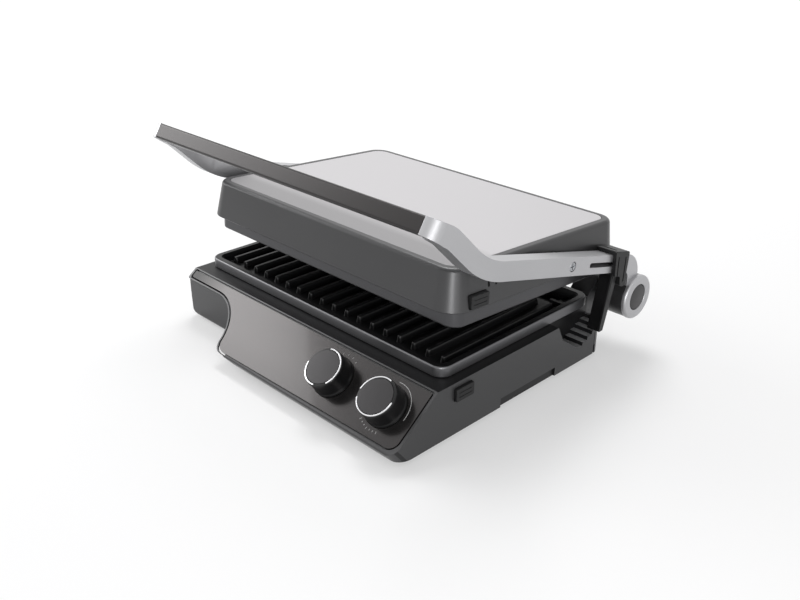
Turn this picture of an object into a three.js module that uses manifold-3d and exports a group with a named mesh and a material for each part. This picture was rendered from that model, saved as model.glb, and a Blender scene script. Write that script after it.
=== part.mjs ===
// Contact grill with a floating lid, a sloped control nose, and a stepped rack that sets the lid's height.
// Millimetres, +X to the right, +Y to the rear, +Z up. The grill stands on z = 0, centred under its outline.

import * as THREE from "three";
import { mergeVertices } from "three/addons/utils/BufferGeometryUtils.js";
import Module from "manifold-3d";

const wasm = await Module();
wasm.setup();

// Driving dimensions. y = 0 is the front edge of the lower plate's rim.
const gap = 0.3; // between two pieces that touch
const overrun = 2; // how far a cutter passes the face that it cuts
const wall = 3; // moulded walls
const sheet = 0.9; // pressed sheet of the reflector pans
const baseHalfWidth = 178;
const baseRear = 222;
const frontWall = -11;
const deckTop = 54.8;
const skirtFoot = 4.5; // lower edge of the walls above the counter
const fasciaTilt = THREE.MathUtils.degToRad(38);
const fasciaLength = 64; // down the slope
const fasciaTopFront = -15.6;
const fasciaTopHeight = 54;
const plateHalfWidth = 168;
const plateDepth = 210;
const rimThickness = 10.1;
const ribCount = 18;
const ribPitch = 17.7;
const hingeY = 250.3;
const hingeZ = 58;
const pivotY = 140.1;
const pivotZ = 122.4;
const armInner = 175;
const armOuter = 191.5;
const armSection = 17.3;
const armSlope = THREE.MathUtils.degToRad(14.6);
const lidTilt = THREE.MathUtils.degToRad(3.4); // how far the lid leans down to the rear

const roundSteps = 4; // facets in a round corner
const turnSteps = 20; // facets in a full turn
const smallTurnSteps = 12; // facets in a full turn of a small hidden piece
const coarseSteps = 2; // facets in a rib's round end
const elementSides = 6;

// Turns a closed geometry into a solid that can be joined and cut.
function solid(geometry) {
  const bare = geometry.index ? geometry.toNonIndexed() : geometry.clone();
  bare.deleteAttribute("normal");
  bare.deleteAttribute("uv");
  const merged = mergeVertices(bare);
  const index = merged.index.array;
  const kept = [];
  for (let at = 0; at < index.length; at += 3) {
    const [a, b, c] = index.slice(at, at + 3);
    if (a !== b && b !== c && c !== a) kept.push(a, b, c);
  }
  const vertProperties = merged.attributes.position.array;
  const triVerts = new Uint32Array(kept);
  return new wasm.Manifold(new wasm.Mesh({ numProp: 3, vertProperties, triVerts }));
}

// Turns a solid into a named mesh in its group.
function place(name, body, material, group) {
  const made = body.getMesh();
  const geometry = new THREE.BufferGeometry();
  geometry.setAttribute("position", new THREE.BufferAttribute(made.vertProperties, 3));
  geometry.setIndex(new THREE.BufferAttribute(made.triVerts, 1));
  geometry.computeVertexNormals();
  const piece = new THREE.Mesh(geometry, material);
  piece.name = name;
  group.add(piece);
}

// Points along corners [u, v, radius]; a corner with a radius is rounded by an arc.
function rounded(corners, steps = roundSteps) {
  const points = [];
  corners.forEach(([u, v, radius], at) => {
    const corner = new THREE.Vector2(u, v);
    if (!radius) {
      points.push(corner);
      return;
    }
    const last = corners.at(at - 1);
    const next = corners[(at + 1) % corners.length];
    const back = new THREE.Vector2(last[0], last[1]).sub(corner).normalize();
    const ahead = new THREE.Vector2(next[0], next[1]).sub(corner).normalize();
    const half = Math.acos(THREE.MathUtils.clamp(back.dot(ahead), -1, 1)) / 2;
    const inward = back.clone().add(ahead).normalize().multiplyScalar(radius / Math.sin(half));
    const centre = corner.clone().add(inward);
    const start = corner.clone().addScaledVector(back, radius / Math.tan(half)).sub(centre);
    const sweep = (Math.PI - 2 * half) * Math.sign(ahead.cross(back));
    for (let step = 0; step <= steps; step += 1) {
      const turn = (sweep * step) / steps;
      points.push(start.clone().rotateAround(new THREE.Vector2(), turn).add(centre));
    }
  });
  return points;
}

const outline = (corners) => new THREE.Shape(rounded(corners));

const boxCorners = (left, right, low, high, radius) => [
  [left, low, radius],
  [right, low, radius],
  [right, high, radius],
  [left, high, radius],
];

const rectangle = (...sides) => outline(boxCorners(...sides));

// Prisms of a shape along a direction, from one coordinate to another.
function prism(shape, from, to, across, up, along) {
  const geometry = new THREE.ExtrudeGeometry(shape, { depth: to - from, bevelEnabled: false });
  geometry.translate(0, 0, from);
  return solid(geometry.applyMatrix4(new THREE.Matrix4().makeBasis(across, up, along)));
}

const axisX = new THREE.Vector3(1, 0, 0);
const axisY = new THREE.Vector3(0, 1, 0);
const axisZ = new THREE.Vector3(0, 0, 1);
const prismX = (shape, from, to) => prism(shape, from, to, axisY, axisZ, axisX);
const prismY = (shape, from, to) => prism(shape, -to, -from, axisX, axisZ, axisY.clone().negate());
const prismZ = (shape, from, to) => prism(shape, from, to, axisX, axisY, axisZ);
const block = (x0, x1, y0, y1, z0, z1) => prismZ(rectangle(x0, x1, y0, y1, 0), z0, z1);

// A body of revolution about Z from a profile of [radius, height] that runs up its outside.
function turned(profile, steps = turnSteps) {
  const points = profile.map(([radius, height]) => new THREE.Vector2(radius, height));
  if (profile[0][0] > 0) points.push(points[0]);
  return solid(new THREE.LatheGeometry(points, steps)).rotate([90, 0, 0]);
}

const rod = (radius, from, to, steps = turnSteps) =>
  turned([[0, from], [radius, from], [radius, to], [0, to]], steps);

const sleeve = (inner, outer, from, to, steps = turnSteps) =>
  turned([[inner, from], [outer, from], [outer, to], [inner, to]], steps);

// Lays a body that was turned about Z along X, and moves it to its axis.
const alongX = (body, y, z) => body.rotate([0, 90, 0]).translate([0, y, z]);

// A closed body through rings of equal point counts, each convex and counter-clockwise from above.
function loft(rings) {
  const positions = rings.flat().flatMap((point) => point.toArray());
  const count = rings[0].length;
  const last = (rings.length - 1) * count;
  const index = [];
  for (let corner = 1; corner < count - 1; corner += 1) {
    index.push(0, corner + 1, corner, last, last + corner, last + corner + 1);
  }
  for (let ring = 0; ring < rings.length - 1; ring += 1) {
    for (let corner = 0; corner < count; corner += 1) {
      const a = ring * count + corner;
      const b = ring * count + ((corner + 1) % count);
      index.push(a, b, b + count, a, b + count, a + count);
    }
  }
  const geometry = new THREE.BufferGeometry();
  geometry.setAttribute("position", new THREE.Float32BufferAttribute(positions, 3));
  geometry.setIndex(index);
  return solid(geometry);
}

const ring = (halfWidth, front, rear, radius, height) =>
  rounded(boxCorners(-halfWidth, halfWidth, front, rear, radius)).map(
    (point) => new THREE.Vector3(point.x, point.y, height),
  );

// Makes a right-hand piece and its mirror image on the left.
function pair(name, body, material, group) {
  place(name + "_right", body, material, group);
  place(name + "_left", body.mirror([1, 0, 0]), material, group);
}

const finish = (color, roughness, metalness) =>
  new THREE.MeshStandardMaterial({ color, roughness, metalness });
const graphite = finish(0x4b4b4d, 0.45, 0.3);
const blackPlastic = finish(0x1c1c1d, 0.5, 0);
const glossPanel = finish(0x4a4848, 0.15, 0.4);
const silver = finish(0xb4b4b6, 0.35, 0.7);
const brushedSteel = finish(0xd4d4d6, 0.32, 0.85);
const castCoating = finish(0x1a1a1b, 0.55, 0.1);
const darkMetal = finish(0x3a3a3c, 0.4, 0.6);
const zincSteel = finish(0x9a9ca0, 0.4, 0.8);
const rubber = finish(0x161616, 0.9, 0);
const aluminisedSheet = finish(0xa8aaac, 0.45, 0.75);

const grill = new THREE.Group();

// The fascia's slope: s runs down it from the top edge, n stands out of it.
const slopeCos = Math.cos(fasciaTilt);
const slopeSin = Math.sin(fasciaTilt);
const onSlope = (s, n) => [
  fasciaTopFront - s * slopeCos - n * slopeSin,
  fasciaTopHeight - s * slopeSin + n * slopeCos,
];
const slopeHeight = (s) => fasciaTopHeight - s * slopeSin;

function slopePlate(shape, from, to) {
  const down = new THREE.Vector3(0, -slopeCos, -slopeSin);
  const inward = new THREE.Vector3(0, slopeSin, -slopeCos);
  return prism(shape, -to, -from, axisX, down, inward).translate([0, ...onSlope(0, 0)]);
}

// The S-shaped left edge of the panel in x and s: a strip, a big arc down, and a foot that flares out.
const sCurve = { stripEnd: -118.5, stripWidth: 9.6, radius: 48.5, foot: 61, toe: -57 };
const arcStop = -THREE.MathUtils.degToRad(10);

function sEdge(offset) {
  const { stripEnd, stripWidth, radius, foot, toe } = sCurve;
  const edge = new THREE.Path();
  edge.absarc(stripEnd, stripWidth + radius, radius - offset, -Math.PI / 2, arcStop, false);
  edge.quadraticCurveTo(stripEnd + radius - offset, foot + offset, toe, foot + offset);
  return edge.getPoints(2 * roundSteps);
}

const panel = { right: 174, left: -169.5, corner: 10, leftCorner: 3, thickness: 2.2, seam: 1.5 };

// The panel's outline in x and s, grown by an offset.
function panelOutline(offset) {
  const right = panel.right + offset;
  const left = panel.left - offset;
  const foot = sCurve.foot + offset;
  const strip = sCurve.stripWidth + offset;
  const start = rounded([
    [right, foot, panel.corner + offset],
    [right, panel.seam - offset, panel.seam],
    [left, panel.seam - offset, panel.seam],
    [left, strip, panel.leftCorner],
    [sCurve.stripEnd, strip, 0],
  ]);
  return new THREE.Shape([...start.slice(0, -1), ...sEdge(offset)]);
}

// Base housing: one moulded shell, open below, with the control nose at the front.
const nose = { rim: 3, skin: 5.5, faceRound: 2, lipRound: 4, flankReach: 10, corner: 11 };
const shoulderRound = 6.5; // of the upper left edge
const baseCornerRadius = 13;
const plateOpening = { halfWidth: 152, front: 6, rear: 204, radius: 10 };
const knobHole = 5;
const knobPlaces = { temperature: 76, timer: 142 };
const knobDown = 29.2; // of both knobs, down the slope

// Everything right of the nose's S-shaped flank, in x and z, grown by an offset.
function noseFront(offset, right, floor, top) {
  const edge = sEdge(nose.rim + offset).map((point) => [point.x, slopeHeight(point.y)]);
  const flank = edge.slice(0, 2 * roundSteps + 1).map(([x, z]) => new THREE.Vector2(x, z));
  const foot = new THREE.QuadraticBezierCurve(
    flank.at(-1),
    new THREE.Vector2(flank.at(-1).x + nose.flankReach / 2, floor + nose.lipRound),
    new THREE.Vector2(sCurve.toe + nose.flankReach, floor),
  );
  return new THREE.Shape([
    new THREE.Vector2(right, floor),
    new THREE.Vector2(right, top),
    new THREE.Vector2(sCurve.stripEnd, top),
    ...flank,
    ...foot.getPoints(roundSteps).slice(1),
  ]);
}

// The nose from the side, in y and z, with its face and lip moved inward.
function noseSide(face, lip, floor, top, rear) {
  const atTop = (fasciaTopHeight - top - face * slopeCos) / slopeSin;
  const corner = onSlope(fasciaLength - lip, -face);
  const down = (floor - slopeHeight(fasciaLength - lip)) / slopeCos;
  return outline([
    [rear, top, 0],
    [...onSlope(atTop, -face), 0],
    [...corner, face ? 0 : nose.faceRound],
    [...onSlope(fasciaLength - lip, down), face ? 0 : nose.lipRound],
    [rear, floor, 0],
  ]);
}

// The slope seen square on, with its lower right corner rounded, moved inward.
function noseCorner(inset) {
  const reach = 2 * baseRear;
  const right = baseHalfWidth - inset;
  const shape = outline([
    [-reach, -reach, 0],
    [right, -reach, 0],
    [right, fasciaLength - inset, nose.corner - inset],
    [-reach, fasciaLength - inset, 0],
  ]);
  return slopePlate(shape, -reach, reach);
}

// Everything under the deck and under the slope, with the upper left edge rounded along both.
function roundedShoulder() {
  const reach = 2 * baseRear;
  const under = (top) =>
    outline([
      [-baseHalfWidth, top - reach, 0],
      [reach, top - reach, 0],
      [reach, top, 0],
      [-baseHalfWidth, top, shoulderRound],
    ]);
  const normal = new THREE.Vector3(0, -slopeSin, slopeCos);
  const down = new THREE.Vector3().crossVectors(axisX, normal);
  const slope = prism(under(0), -reach, reach, axisX, normal, down).translate([0, ...onSlope(0, 0)]);
  return slope.intersect(prismY(under(deckTop), -reach, reach));
}

function noseBody() {
  const front = onSlope(fasciaLength, 0)[0] - overrun;
  const rear = frontWall + wall;
  const right = prismY(noseFront(0, baseHalfWidth, skirtFoot, deckTop), front, rear);
  const stripFloor = slopeHeight(sCurve.stripWidth + nose.rim);
  const strip = block(-baseHalfWidth, sCurve.stripEnd + nose.rim, front, rear, stripFloor, deckTop);
  const side = noseSide(0, 0, skirtFoot, deckTop, rear);
  const body = right.add(strip).intersect(prismX(side, -baseHalfWidth, baseHalfWidth));
  return body.intersect(noseCorner(0));
}

function noseHollow() {
  const front = onSlope(fasciaLength, 0)[0];
  const rear = frontWall + wall + overrun;
  const floor = skirtFoot - overrun;
  const right = prismY(noseFront(-wall, baseHalfWidth - wall, floor, deckTop), front, rear);
  const side = noseSide(nose.skin, wall, floor, deckTop - wall, rear);
  return right.intersect(prismX(side, -baseHalfWidth, baseHalfWidth)).intersect(noseCorner(wall));
}

// The rack pocket in the right rear wall: a ramp down, level treads that climb to the rear, and a landing.
const rack = {
  inner: 157,
  rampTop: 149,
  rampFoot: 181.3,
  treadHeight: 20.6,
  firstRiser: 188.2,
  pitch: 7.5,
  risers: 3,
  riserLean: 0.8,
  landing: 31,
};

function rackPocket() {
  const rise = (rack.landing - rack.treadHeight) / rack.risers;
  const steps = [];
  for (let at = 0; at < rack.risers; at += 1) {
    const y = rack.firstRiser + at * rack.pitch;
    const low = rack.treadHeight + at * rise;
    steps.push([y, low, 0], [y + rack.riserLean, low + rise, 0]);
  }
  const profile = outline([
    [baseRear + overrun, deckTop + overrun, 0],
    [rack.rampTop, deckTop + overrun, 0],
    [rack.rampTop, deckTop, 0],
    [rack.rampFoot, rack.treadHeight, 0],
    ...steps,
    [baseRear + overrun, rack.landing, 0],
  ]);
  return prismX(profile, rack.inner, baseHalfWidth + overrun);
}

const tray = { left: -167.5, right: -88, front: frontWall + gap, rear: 195, floor: 8, top: 30, wall: 1.6 };
const trayPlay = 0.5; // round the tray in its window
const lowerButton = { front: 5, rear: 27, low: 37.3, high: 49.5, round: 1.5, proud: 3, play: 0.4 };
const notch = { front: 67, rear: 146, top: 13.5, depth: 2 };
const gland = { x: 60, height: 30, radius: 6 };

// Puts a body that was made about Z on the slope, at x and s.
const onFascia = (body, x, s) =>
  body.rotate([THREE.MathUtils.radToDeg(fasciaTilt), 0, 0]).translate([x, ...onSlope(s, 0)]);

function buttonShape(button, grow) {
  const { front, rear, low, high, round } = button;
  return rectangle(front - grow, rear + grow, low - grow, high + grow, round);
}

function baseHousing() {
  const plan = outline([
    [-baseHalfWidth, frontWall, 0],
    [baseHalfWidth, frontWall, 0],
    [baseHalfWidth, baseRear, baseCornerRadius],
    [-baseHalfWidth, baseRear, baseCornerRadius],
  ]);
  const inner = baseHalfWidth - wall;
  const cavityPlan = outline([
    [-inner, frontWall + wall, 0],
    [inner, frontWall + wall, 0],
    [inner, baseRear - wall, baseCornerRadius - wall],
    [-inner, baseRear - wall, baseCornerRadius - wall],
  ]);
  const pocketWall = block(
    rack.inner - wall,
    baseHalfWidth,
    rack.rampTop - 2 * wall,
    baseRear,
    skirtFoot + 2 * wall,
    deckTop,
  );
  const cavity = prismZ(cavityPlan, skirtFoot - overrun, deckTop - wall).subtract(pocketWall);
  const { halfWidth, front, rear, radius } = plateOpening;
  const openingShape = rectangle(-halfWidth, halfWidth, front, rear, radius);
  const opening = prismZ(openingShape, deckTop - 2 * wall, deckTop + overrun);
  const window = block(
    tray.left - trayPlay,
    tray.right + trayPlay,
    frontWall - overrun,
    frontWall + wall + overrun,
    tray.floor - trayPlay,
    tray.top + trayPlay,
  );
  const notchFloor = baseHalfWidth - notch.depth;
  const side = block(notchFloor, baseHalfWidth + overrun, notch.front, notch.rear, 0, notch.top);
  const recess = slopePlate(panelOutline(panel.seam), -panel.thickness - gap, overrun);
  const buttonHole = buttonShape(lowerButton, lowerButton.play);
  const button = prismX(buttonHole, inner - overrun, baseHalfWidth + overrun);
  let housing = prismZ(plan, skirtFoot, deckTop).add(noseBody()).intersect(roundedShoulder());
  for (const cutter of [cavity, noseHollow(), opening, window, recess, button]) {
    housing = housing.subtract(cutter);
  }
  for (const x of Object.values(knobPlaces)) {
    housing = housing.subtract(onFascia(rod(knobHole, -2 * nose.skin, overrun), x, knobDown));
  }
  const cordHole = rod(gland.radius + gap, -wall - overrun, overrun).rotate([-90, 0, 0]);
  housing = housing.subtract(cordHole.translate([gland.x, baseRear, gland.height]));
  housing = housing.subtract(side).subtract(side.mirror([1, 0, 0]));
  return housing.subtract(rackPocket());
}

place("base_housing", baseHousing(), graphite, grill);

// Cord gland: a flanged bush in the rear wall.
function cordGland() {
  const flange = gland.radius + wall;
  const body = turned([
    [0, -2 * wall],
    [gland.radius, -2 * wall],
    [gland.radius, gap],
    [flange, gap],
    [flange, wall / 2],
    [gland.radius, wall],
    [0, wall],
  ]);
  return body.rotate([-90, 0, 0]).translate([gland.x, baseRear, gland.height]);
}

place("cord_gland", cordGland(), blackPlastic, grill);

// Fascia panel: a glossy plate set into the nose.
function fasciaPanel() {
  let plate = slopePlate(panelOutline(0), -panel.thickness, 0);
  for (const x of Object.values(knobPlaces)) {
    plate = plate.subtract(onFascia(rod(knobHole, -2 * nose.skin, overrun), x, knobDown));
  }
  return plate;
}

place("fascia_panel", fasciaPanel(), glossPanel, grill);

// Bottom cover: a flat plate inside the skirt, with a stud hole over each foot.
const coverRise = 0.5; // above the skirt's lower edge
const cover = { foot: skirtFoot + coverRise, thickness: 2.7 };
const foot = { radius: 9, dome: 1, stud: 3.2, sideInset: 26, rearInset: 22, noseX: 48, noseY: -36 };
const footPlaces = {
  foot_front_left: [-foot.noseX, foot.noseY],
  foot_front_right: [baseHalfWidth - foot.sideInset, foot.noseY],
  foot_rear_left: [-baseHalfWidth + foot.sideInset, baseRear - foot.rearInset],
  foot_rear_right: [baseHalfWidth - foot.sideInset, baseRear - foot.rearInset],
};

function bottomCover() {
  const top = cover.foot + cover.thickness;
  const inner = baseHalfWidth - wall - gap;
  const body = prismZ(
    outline([
      [-inner, frontWall + wall + gap, 0],
      [inner, frontWall + wall + gap, 0],
      [inner, baseRear - wall - gap, baseCornerRadius - wall],
      [-inner, baseRear - wall - gap, baseCornerRadius - wall],
    ]),
    cover.foot,
    top,
  );
  const front = onSlope(fasciaLength, 0)[0];
  const rear = frontWall + wall + overrun;
  const under = prismY(noseFront(-2 * wall, inner, skirtFoot - overrun, deckTop), front, rear);
  const side = prismX(noseSide(nose.skin + gap, wall + gap, 0, 2 * top, rear), -inner, inner);
  const slab = block(-inner, inner, front, rear, cover.foot, top).intersect(noseCorner(wall + gap));
  let plate = body.add(under.intersect(side).intersect(slab));
  for (const [x, y] of Object.values(footPlaces)) {
    plate = plate.subtract(rod(foot.stud + gap, 0, deckTop).translate([x, y, 0]));
  }
  return plate;
}

place("base_bottom_cover", bottomCover(), blackPlastic, grill);

function rubberFoot() {
  const shoulder = cover.foot - gap;
  return turned([
    [0, 0],
    [foot.radius - foot.dome, 0],
    [foot.radius, foot.dome],
    [foot.radius, shoulder],
    [foot.stud, shoulder],
    [foot.stud, cover.foot + cover.thickness],
    [0, cover.foot + cover.thickness],
  ]);
}

for (const [name, [x, y]] of Object.entries(footPlaces)) {
  place(name, rubberFoot().translate([x, y, 0]), rubber, grill);
}

// Lower reflector pan: hangs by its front and rear flanges under the deck.
const pan = { halfWidth: 150, front: 9, rear: 201, floor: 36, flange: 5, corner: 8 };
const spout = { x: -120, y: 186, radius: 6, bore: 4.2, foot: 32.5 };
const element = { radius: 3.2, height: 46.2, firstRun: 30, runPitch: 36, runs: 4, nearX: 95, farX: -105 };

function lowerPan() {
  const top = deckTop - wall - gap;
  const outer = rectangle(-pan.halfWidth, pan.halfWidth, pan.front, pan.rear, pan.corner);
  const inside = pan.halfWidth - sheet;
  const hollow = rectangle(-inside, inside, pan.front + sheet, pan.rear - sheet, pan.corner - sheet);
  const flange = block(
    -pan.halfWidth + pan.corner,
    pan.halfWidth - pan.corner,
    pan.front - pan.flange - wall,
    pan.rear + pan.flange + wall,
    top - sheet,
    top,
  );
  const inner = prismZ(hollow, pan.floor + sheet, top + overrun);
  let body = prismZ(outer, pan.floor, top).add(flange).subtract(inner);
  body = body.subtract(rod(spout.radius + 2 * gap, 0, deckTop).translate([spout.x, spout.y, 0]));
  for (const at of [0, element.runs - 1]) {
    const hole = rod(element.radius + gap, inside - overrun, pan.halfWidth + overrun);
    body = body.subtract(alongX(hole, element.firstRun + at * element.runPitch, element.height));
  }
  return body;
}

place("lower_reflector_pan", lowerPan(), aluminisedSheet, grill);

// A round bar swept along flat points [x, y] at one height.
function flatSweep(points, height, radius, sides) {
  const rings = points.map((point, at) => {
    const before = points[Math.max(at - 1, 0)];
    const after = points[Math.min(at + 1, points.length - 1)];
    const along = after.clone().sub(before).normalize();
    const sideways = new THREE.Vector3(-along.y, along.x, 0);
    return Array.from({ length: sides }, (_, corner) => {
      const angle = (2 * Math.PI * corner) / sides;
      const centre = new THREE.Vector3(point.x, point.y, height + radius * Math.sin(angle));
      return centre.addScaledVector(sideways, radius * Math.cos(angle));
    });
  });
  return loft(rings);
}

// A heating element: parallel runs joined by half turns, with both ends out at the right.
function heater(size, height, endX) {
  const half = size.runPitch / 2;
  const points = [new THREE.Vector2(endX, size.firstRun)];
  for (let run = 0; run < size.runs - 1; run += 1) {
    const left = run % 2 === 0;
    const x = left ? size.farX : size.nearX;
    const middle = new THREE.Vector2(x, size.firstRun + run * size.runPitch + half);
    for (let step = 0; step <= 2 * roundSteps; step += 1) {
      const angle = (Math.PI * step) / (2 * roundSteps);
      const out = (left ? -1 : 1) * half * Math.sin(angle);
      points.push(new THREE.Vector2(middle.x + out, middle.y - half * Math.cos(angle)));
    }
  }
  points.push(new THREE.Vector2(endX, size.firstRun + (size.runs - 1) * size.runPitch));
  return flatSweep(points, height, size.radius, elementSides);
}

place("lower_heating_element", heater(element, element.height, pan.halfWidth + wall), darkMetal, grill);

// A grill plate: a rim round a ribbed well, made face up with its rim's underside at z = 0.
const plate = {
  rim: 7,
  corner: 12,
  soften: 1.5,
  wellDepth: 8.1,
  bellyHalfWidth: 147,
  bellyInset: 11,
  bellyRound: 8,
};
const rib = { halfWidth: 3.1, crown: 2, height: 6.2, front: 18, rear: 172 };
const trough = { crossWall: 3.4, depth: 3.2, inset: 2 };

function ribBody(x, front, rear, floor) {
  const shape = (width, z) =>
    rounded(boxCorners(x - width, x + width, front, rear, width), coarseSteps).map(
      (point) => new THREE.Vector3(point.x, point.y, z),
    );
  return loft([shape(rib.halfWidth, floor - gap), shape(rib.crown, floor + rib.height)]);
}

function ribbedPlate(depth, halfWidth, bellyDepth, rimHeight, hasTrough) {
  const { soften } = plate;
  const rim = loft([
    ring(halfWidth, 0, depth, plate.corner, 0),
    ring(halfWidth, 0, depth, plate.corner, rimHeight - soften),
    ring(halfWidth - soften, soften, depth - soften, plate.corner - soften, rimHeight),
  ]);
  const inside = halfWidth - plate.rim;
  const well = prismZ(
    rectangle(-inside, inside, plate.rim, depth - plate.rim, plate.corner / 2),
    rimHeight - plate.wellDepth,
    rimHeight + overrun,
  );
  const { bellyHalfWidth, bellyInset, bellyRound } = plate;
  const bellyShape = rectangle(-bellyHalfWidth, bellyHalfWidth, bellyInset, depth - bellyInset, bellyRound);
  const floor = rimHeight - plate.wellDepth;
  let body = rim.add(prismZ(bellyShape, -bellyDepth, floor / 2)).subtract(well);
  const rear = hasTrough ? rib.rear : depth - rib.front;
  for (let at = 0; at < ribCount; at += 1) {
    body = body.add(ribBody((at - (ribCount - 1) / 2) * ribPitch, rib.front, rear, floor));
  }
  return body;
}

// Lower plate: its rim rests on the deck, its belly on the element; a trough drains through a spout.
const lowerBelly = deckTop + gap - (element.height + element.radius + gap);

function lowerPlate() {
  let body = ribbedPlate(plateDepth, plateHalfWidth, lowerBelly, rimThickness, true);
  const wellFloor = rimThickness - plate.wellDepth;
  const inside = plateHalfWidth - plate.rim;
  const crossEnd = rib.rear + 2 * trough.crossWall;
  const crossWall = block(
    -inside - gap,
    inside + gap,
    crossEnd - trough.crossWall,
    crossEnd,
    wellFloor - gap,
    wellFloor + rib.height,
  );
  const reach = plate.bellyHalfWidth - trough.inset;
  const rear = plateDepth - plate.bellyInset - trough.inset;
  const drain = block(-reach, reach, crossEnd + trough.inset, rear, wellFloor - trough.depth, rimThickness);
  const floor = spout.foot - deckTop - gap;
  const pipe = rod(spout.radius, floor, -gap).translate([spout.x, spout.y, 0]);
  const bore = rod(spout.bore, floor - overrun, rimThickness).translate([spout.x, spout.y, 0]);
  const mouthFront = crossEnd - 2 * trough.crossWall;
  let mouths = block(-reach, -reach + ribPitch, mouthFront, crossEnd + gap, wellFloor, rimThickness);
  mouths = mouths.add(mouths.mirror([1, 0, 0]));
  body = body.add(crossWall).subtract(mouths).subtract(drain).add(pipe).subtract(bore);
  return body.translate([0, 0, deckTop + gap]);
}

place("lower_grill_plate", lowerPlate(), castCoating, grill);

// Lower release button: a flanged key in the right wall, pushed out by a spring.
const spring = { outer: 4, inner: 2.6 };

function releaseButton(size, face, hidden) {
  const key = prismX(buttonShape(size, 0), face - hidden, face + size.proud);
  const flange = prismX(buttonShape(size, wall / 2 + size.play), face - hidden - wall / 2, face - hidden);
  return key.add(flange);
}

// The spring between a pan's side and a key's flange.
function buttonSpring(button, panSide, face, hidden, aside) {
  const end = face - hidden - wall / 2 - gap;
  const body = sleeve(spring.inner, spring.outer, panSide + gap, end, smallTurnSteps);
  return alongX(body, (button.front + button.rear) / 2 + aside, (button.low + button.high) / 2);
}

const lowerKey = releaseButton(lowerButton, baseHalfWidth, wall + gap);
place("lower_release_button", lowerKey, blackPlastic, grill);
const lowerSpring = buttonSpring(lowerButton, pan.halfWidth, baseHalfWidth, wall + gap, spring.outer);
place("lower_button_spring", lowerSpring, zincSteel, grill);

// Drip tray: an open box behind a front that completes the nose.
const trayFront = {
  left: 177.7,
  low: 1.5,
  topFace: 4.5,
  topRound: 1,
  lean: 5.5,
  round: 14,
  sideRound: 8,
  play: 1,
};

function dripTray() {
  const shape = (inset) =>
    rectangle(tray.left + inset, tray.right - inset, tray.front + inset, tray.rear - inset, 2 * tray.wall);
  const box = prismZ(shape(0), tray.floor, tray.top);
  return box.subtract(prismZ(shape(tray.wall), tray.floor + tray.wall, tray.top + overrun));
}

function dripTrayFront() {
  const rear = frontWall - gap;
  const top = slopeHeight(sCurve.stripWidth + nose.rim) - trayFront.play;
  const front = rear - trayFront.topFace - trayFront.lean;
  const right = sCurve.stripEnd + sCurve.radius;
  const outer = prismY(
    outline([
      [-trayFront.left, trayFront.low, trayFront.round],
      [right, trayFront.low, 0],
      [right, top, 0],
      [-trayFront.left, top, 0],
    ]),
    front,
    rear,
  );
  const lean = outline([
    [rear, trayFront.low, 0],
    [rear, top, 0],
    [rear - trayFront.topFace, top, trayFront.topRound],
    [front, trayFront.low, wall],
  ]);
  const plan = outline([
    [-trayFront.left, rear + 2 * trayFront.sideRound, 0],
    [-trayFront.left, front, trayFront.sideRound],
    [right, front, 0],
    [right, rear + 2 * trayFront.sideRound, 0],
  ]);
  const flankShape = noseFront(trayFront.play, baseHalfWidth, 0, deckTop);
  const flank = prismY(flankShape, front - overrun, rear + overrun);
  let body = outer.intersect(prismX(lean, -trayFront.left, right));
  body = body.intersect(prismZ(plan, 0, top));
  return body.subtract(flank);
}

place("drip_tray", dripTray(), castCoating, grill);
place("drip_tray_front", dripTrayFront(), graphite, grill);

// Knobs: each turns with its spindle in a switch behind the fascia.
const knob = {
  lift: 0.6, // above the panel
  base: 20,
  baseHeight: 1.6,
  radius: 19,
  height: 17.8,
  chamfer: 1,
  ringOuter: 18.2,
  ringInner: 15.9,
  ringHeight: 1.5,
  ringProud: 0.9,
};
const spindle = { radius: 3, tail: 20, head: 8 };
const thermostat = { halfWidth: 15, halfHeight: 12, depth: 13 };
const timerCase = { radius: 14.5, depth: 14 };

// A group on the slope at x, whose z stands out of the panel.
function slopeGroup(x) {
  const tilted = new THREE.Group();
  tilted.position.set(x, ...onSlope(knobDown, 0));
  tilted.rotation.x = fasciaTilt;
  grill.add(tilted);
  return tilted;
}

function addKnob(name, x) {
  const tilted = slopeGroup(x);
  const foot = knob.lift;
  const top = foot + knob.height;
  const pocket = top - knob.ringHeight;
  const body = turned([
    [0, foot],
    [knob.base, foot],
    [knob.base, foot + knob.baseHeight],
    [knob.radius, foot + 2 * knob.baseHeight],
    [knob.radius - gap, top - knob.chamfer],
    [knob.ringOuter + gap, top],
    [knob.ringOuter + gap, pocket],
    [knob.ringInner - gap, pocket],
    [0, pocket],
  ]);
  const socket = rod(spindle.radius + gap, 0, spindle.head + gap, smallTurnSteps);
  place(name + "_knob_body", body.subtract(socket), blackPlastic, tilted);
  const seat = pocket + gap;
  const ringTop = top + knob.ringProud;
  place(name + "_knob_ring", sleeve(knob.ringInner, knob.ringOuter, seat, ringTop), silver, tilted);
  place(name + "_knob_cap", rod(knob.ringInner - gap, seat, ringTop - gap), darkMetal, tilted);
  const shaft = rod(spindle.radius, -spindle.tail, spindle.head, smallTurnSteps);
  place(name + "_knob_spindle", shaft, zincSteel, tilted);
}

for (const [name, x] of Object.entries(knobPlaces)) addKnob(name, x);

function addSwitch(name, x, can, neck) {
  const bushing = rod(neck, -nose.skin - overrun, -panel.thickness - gap, smallTurnSteps);
  const bore = rod(spindle.radius + gap, -spindle.tail - gap, 0, smallTurnSteps);
  place(name, can.add(bushing).subtract(bore), zincSteel, slopeGroup(x));
}

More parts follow.
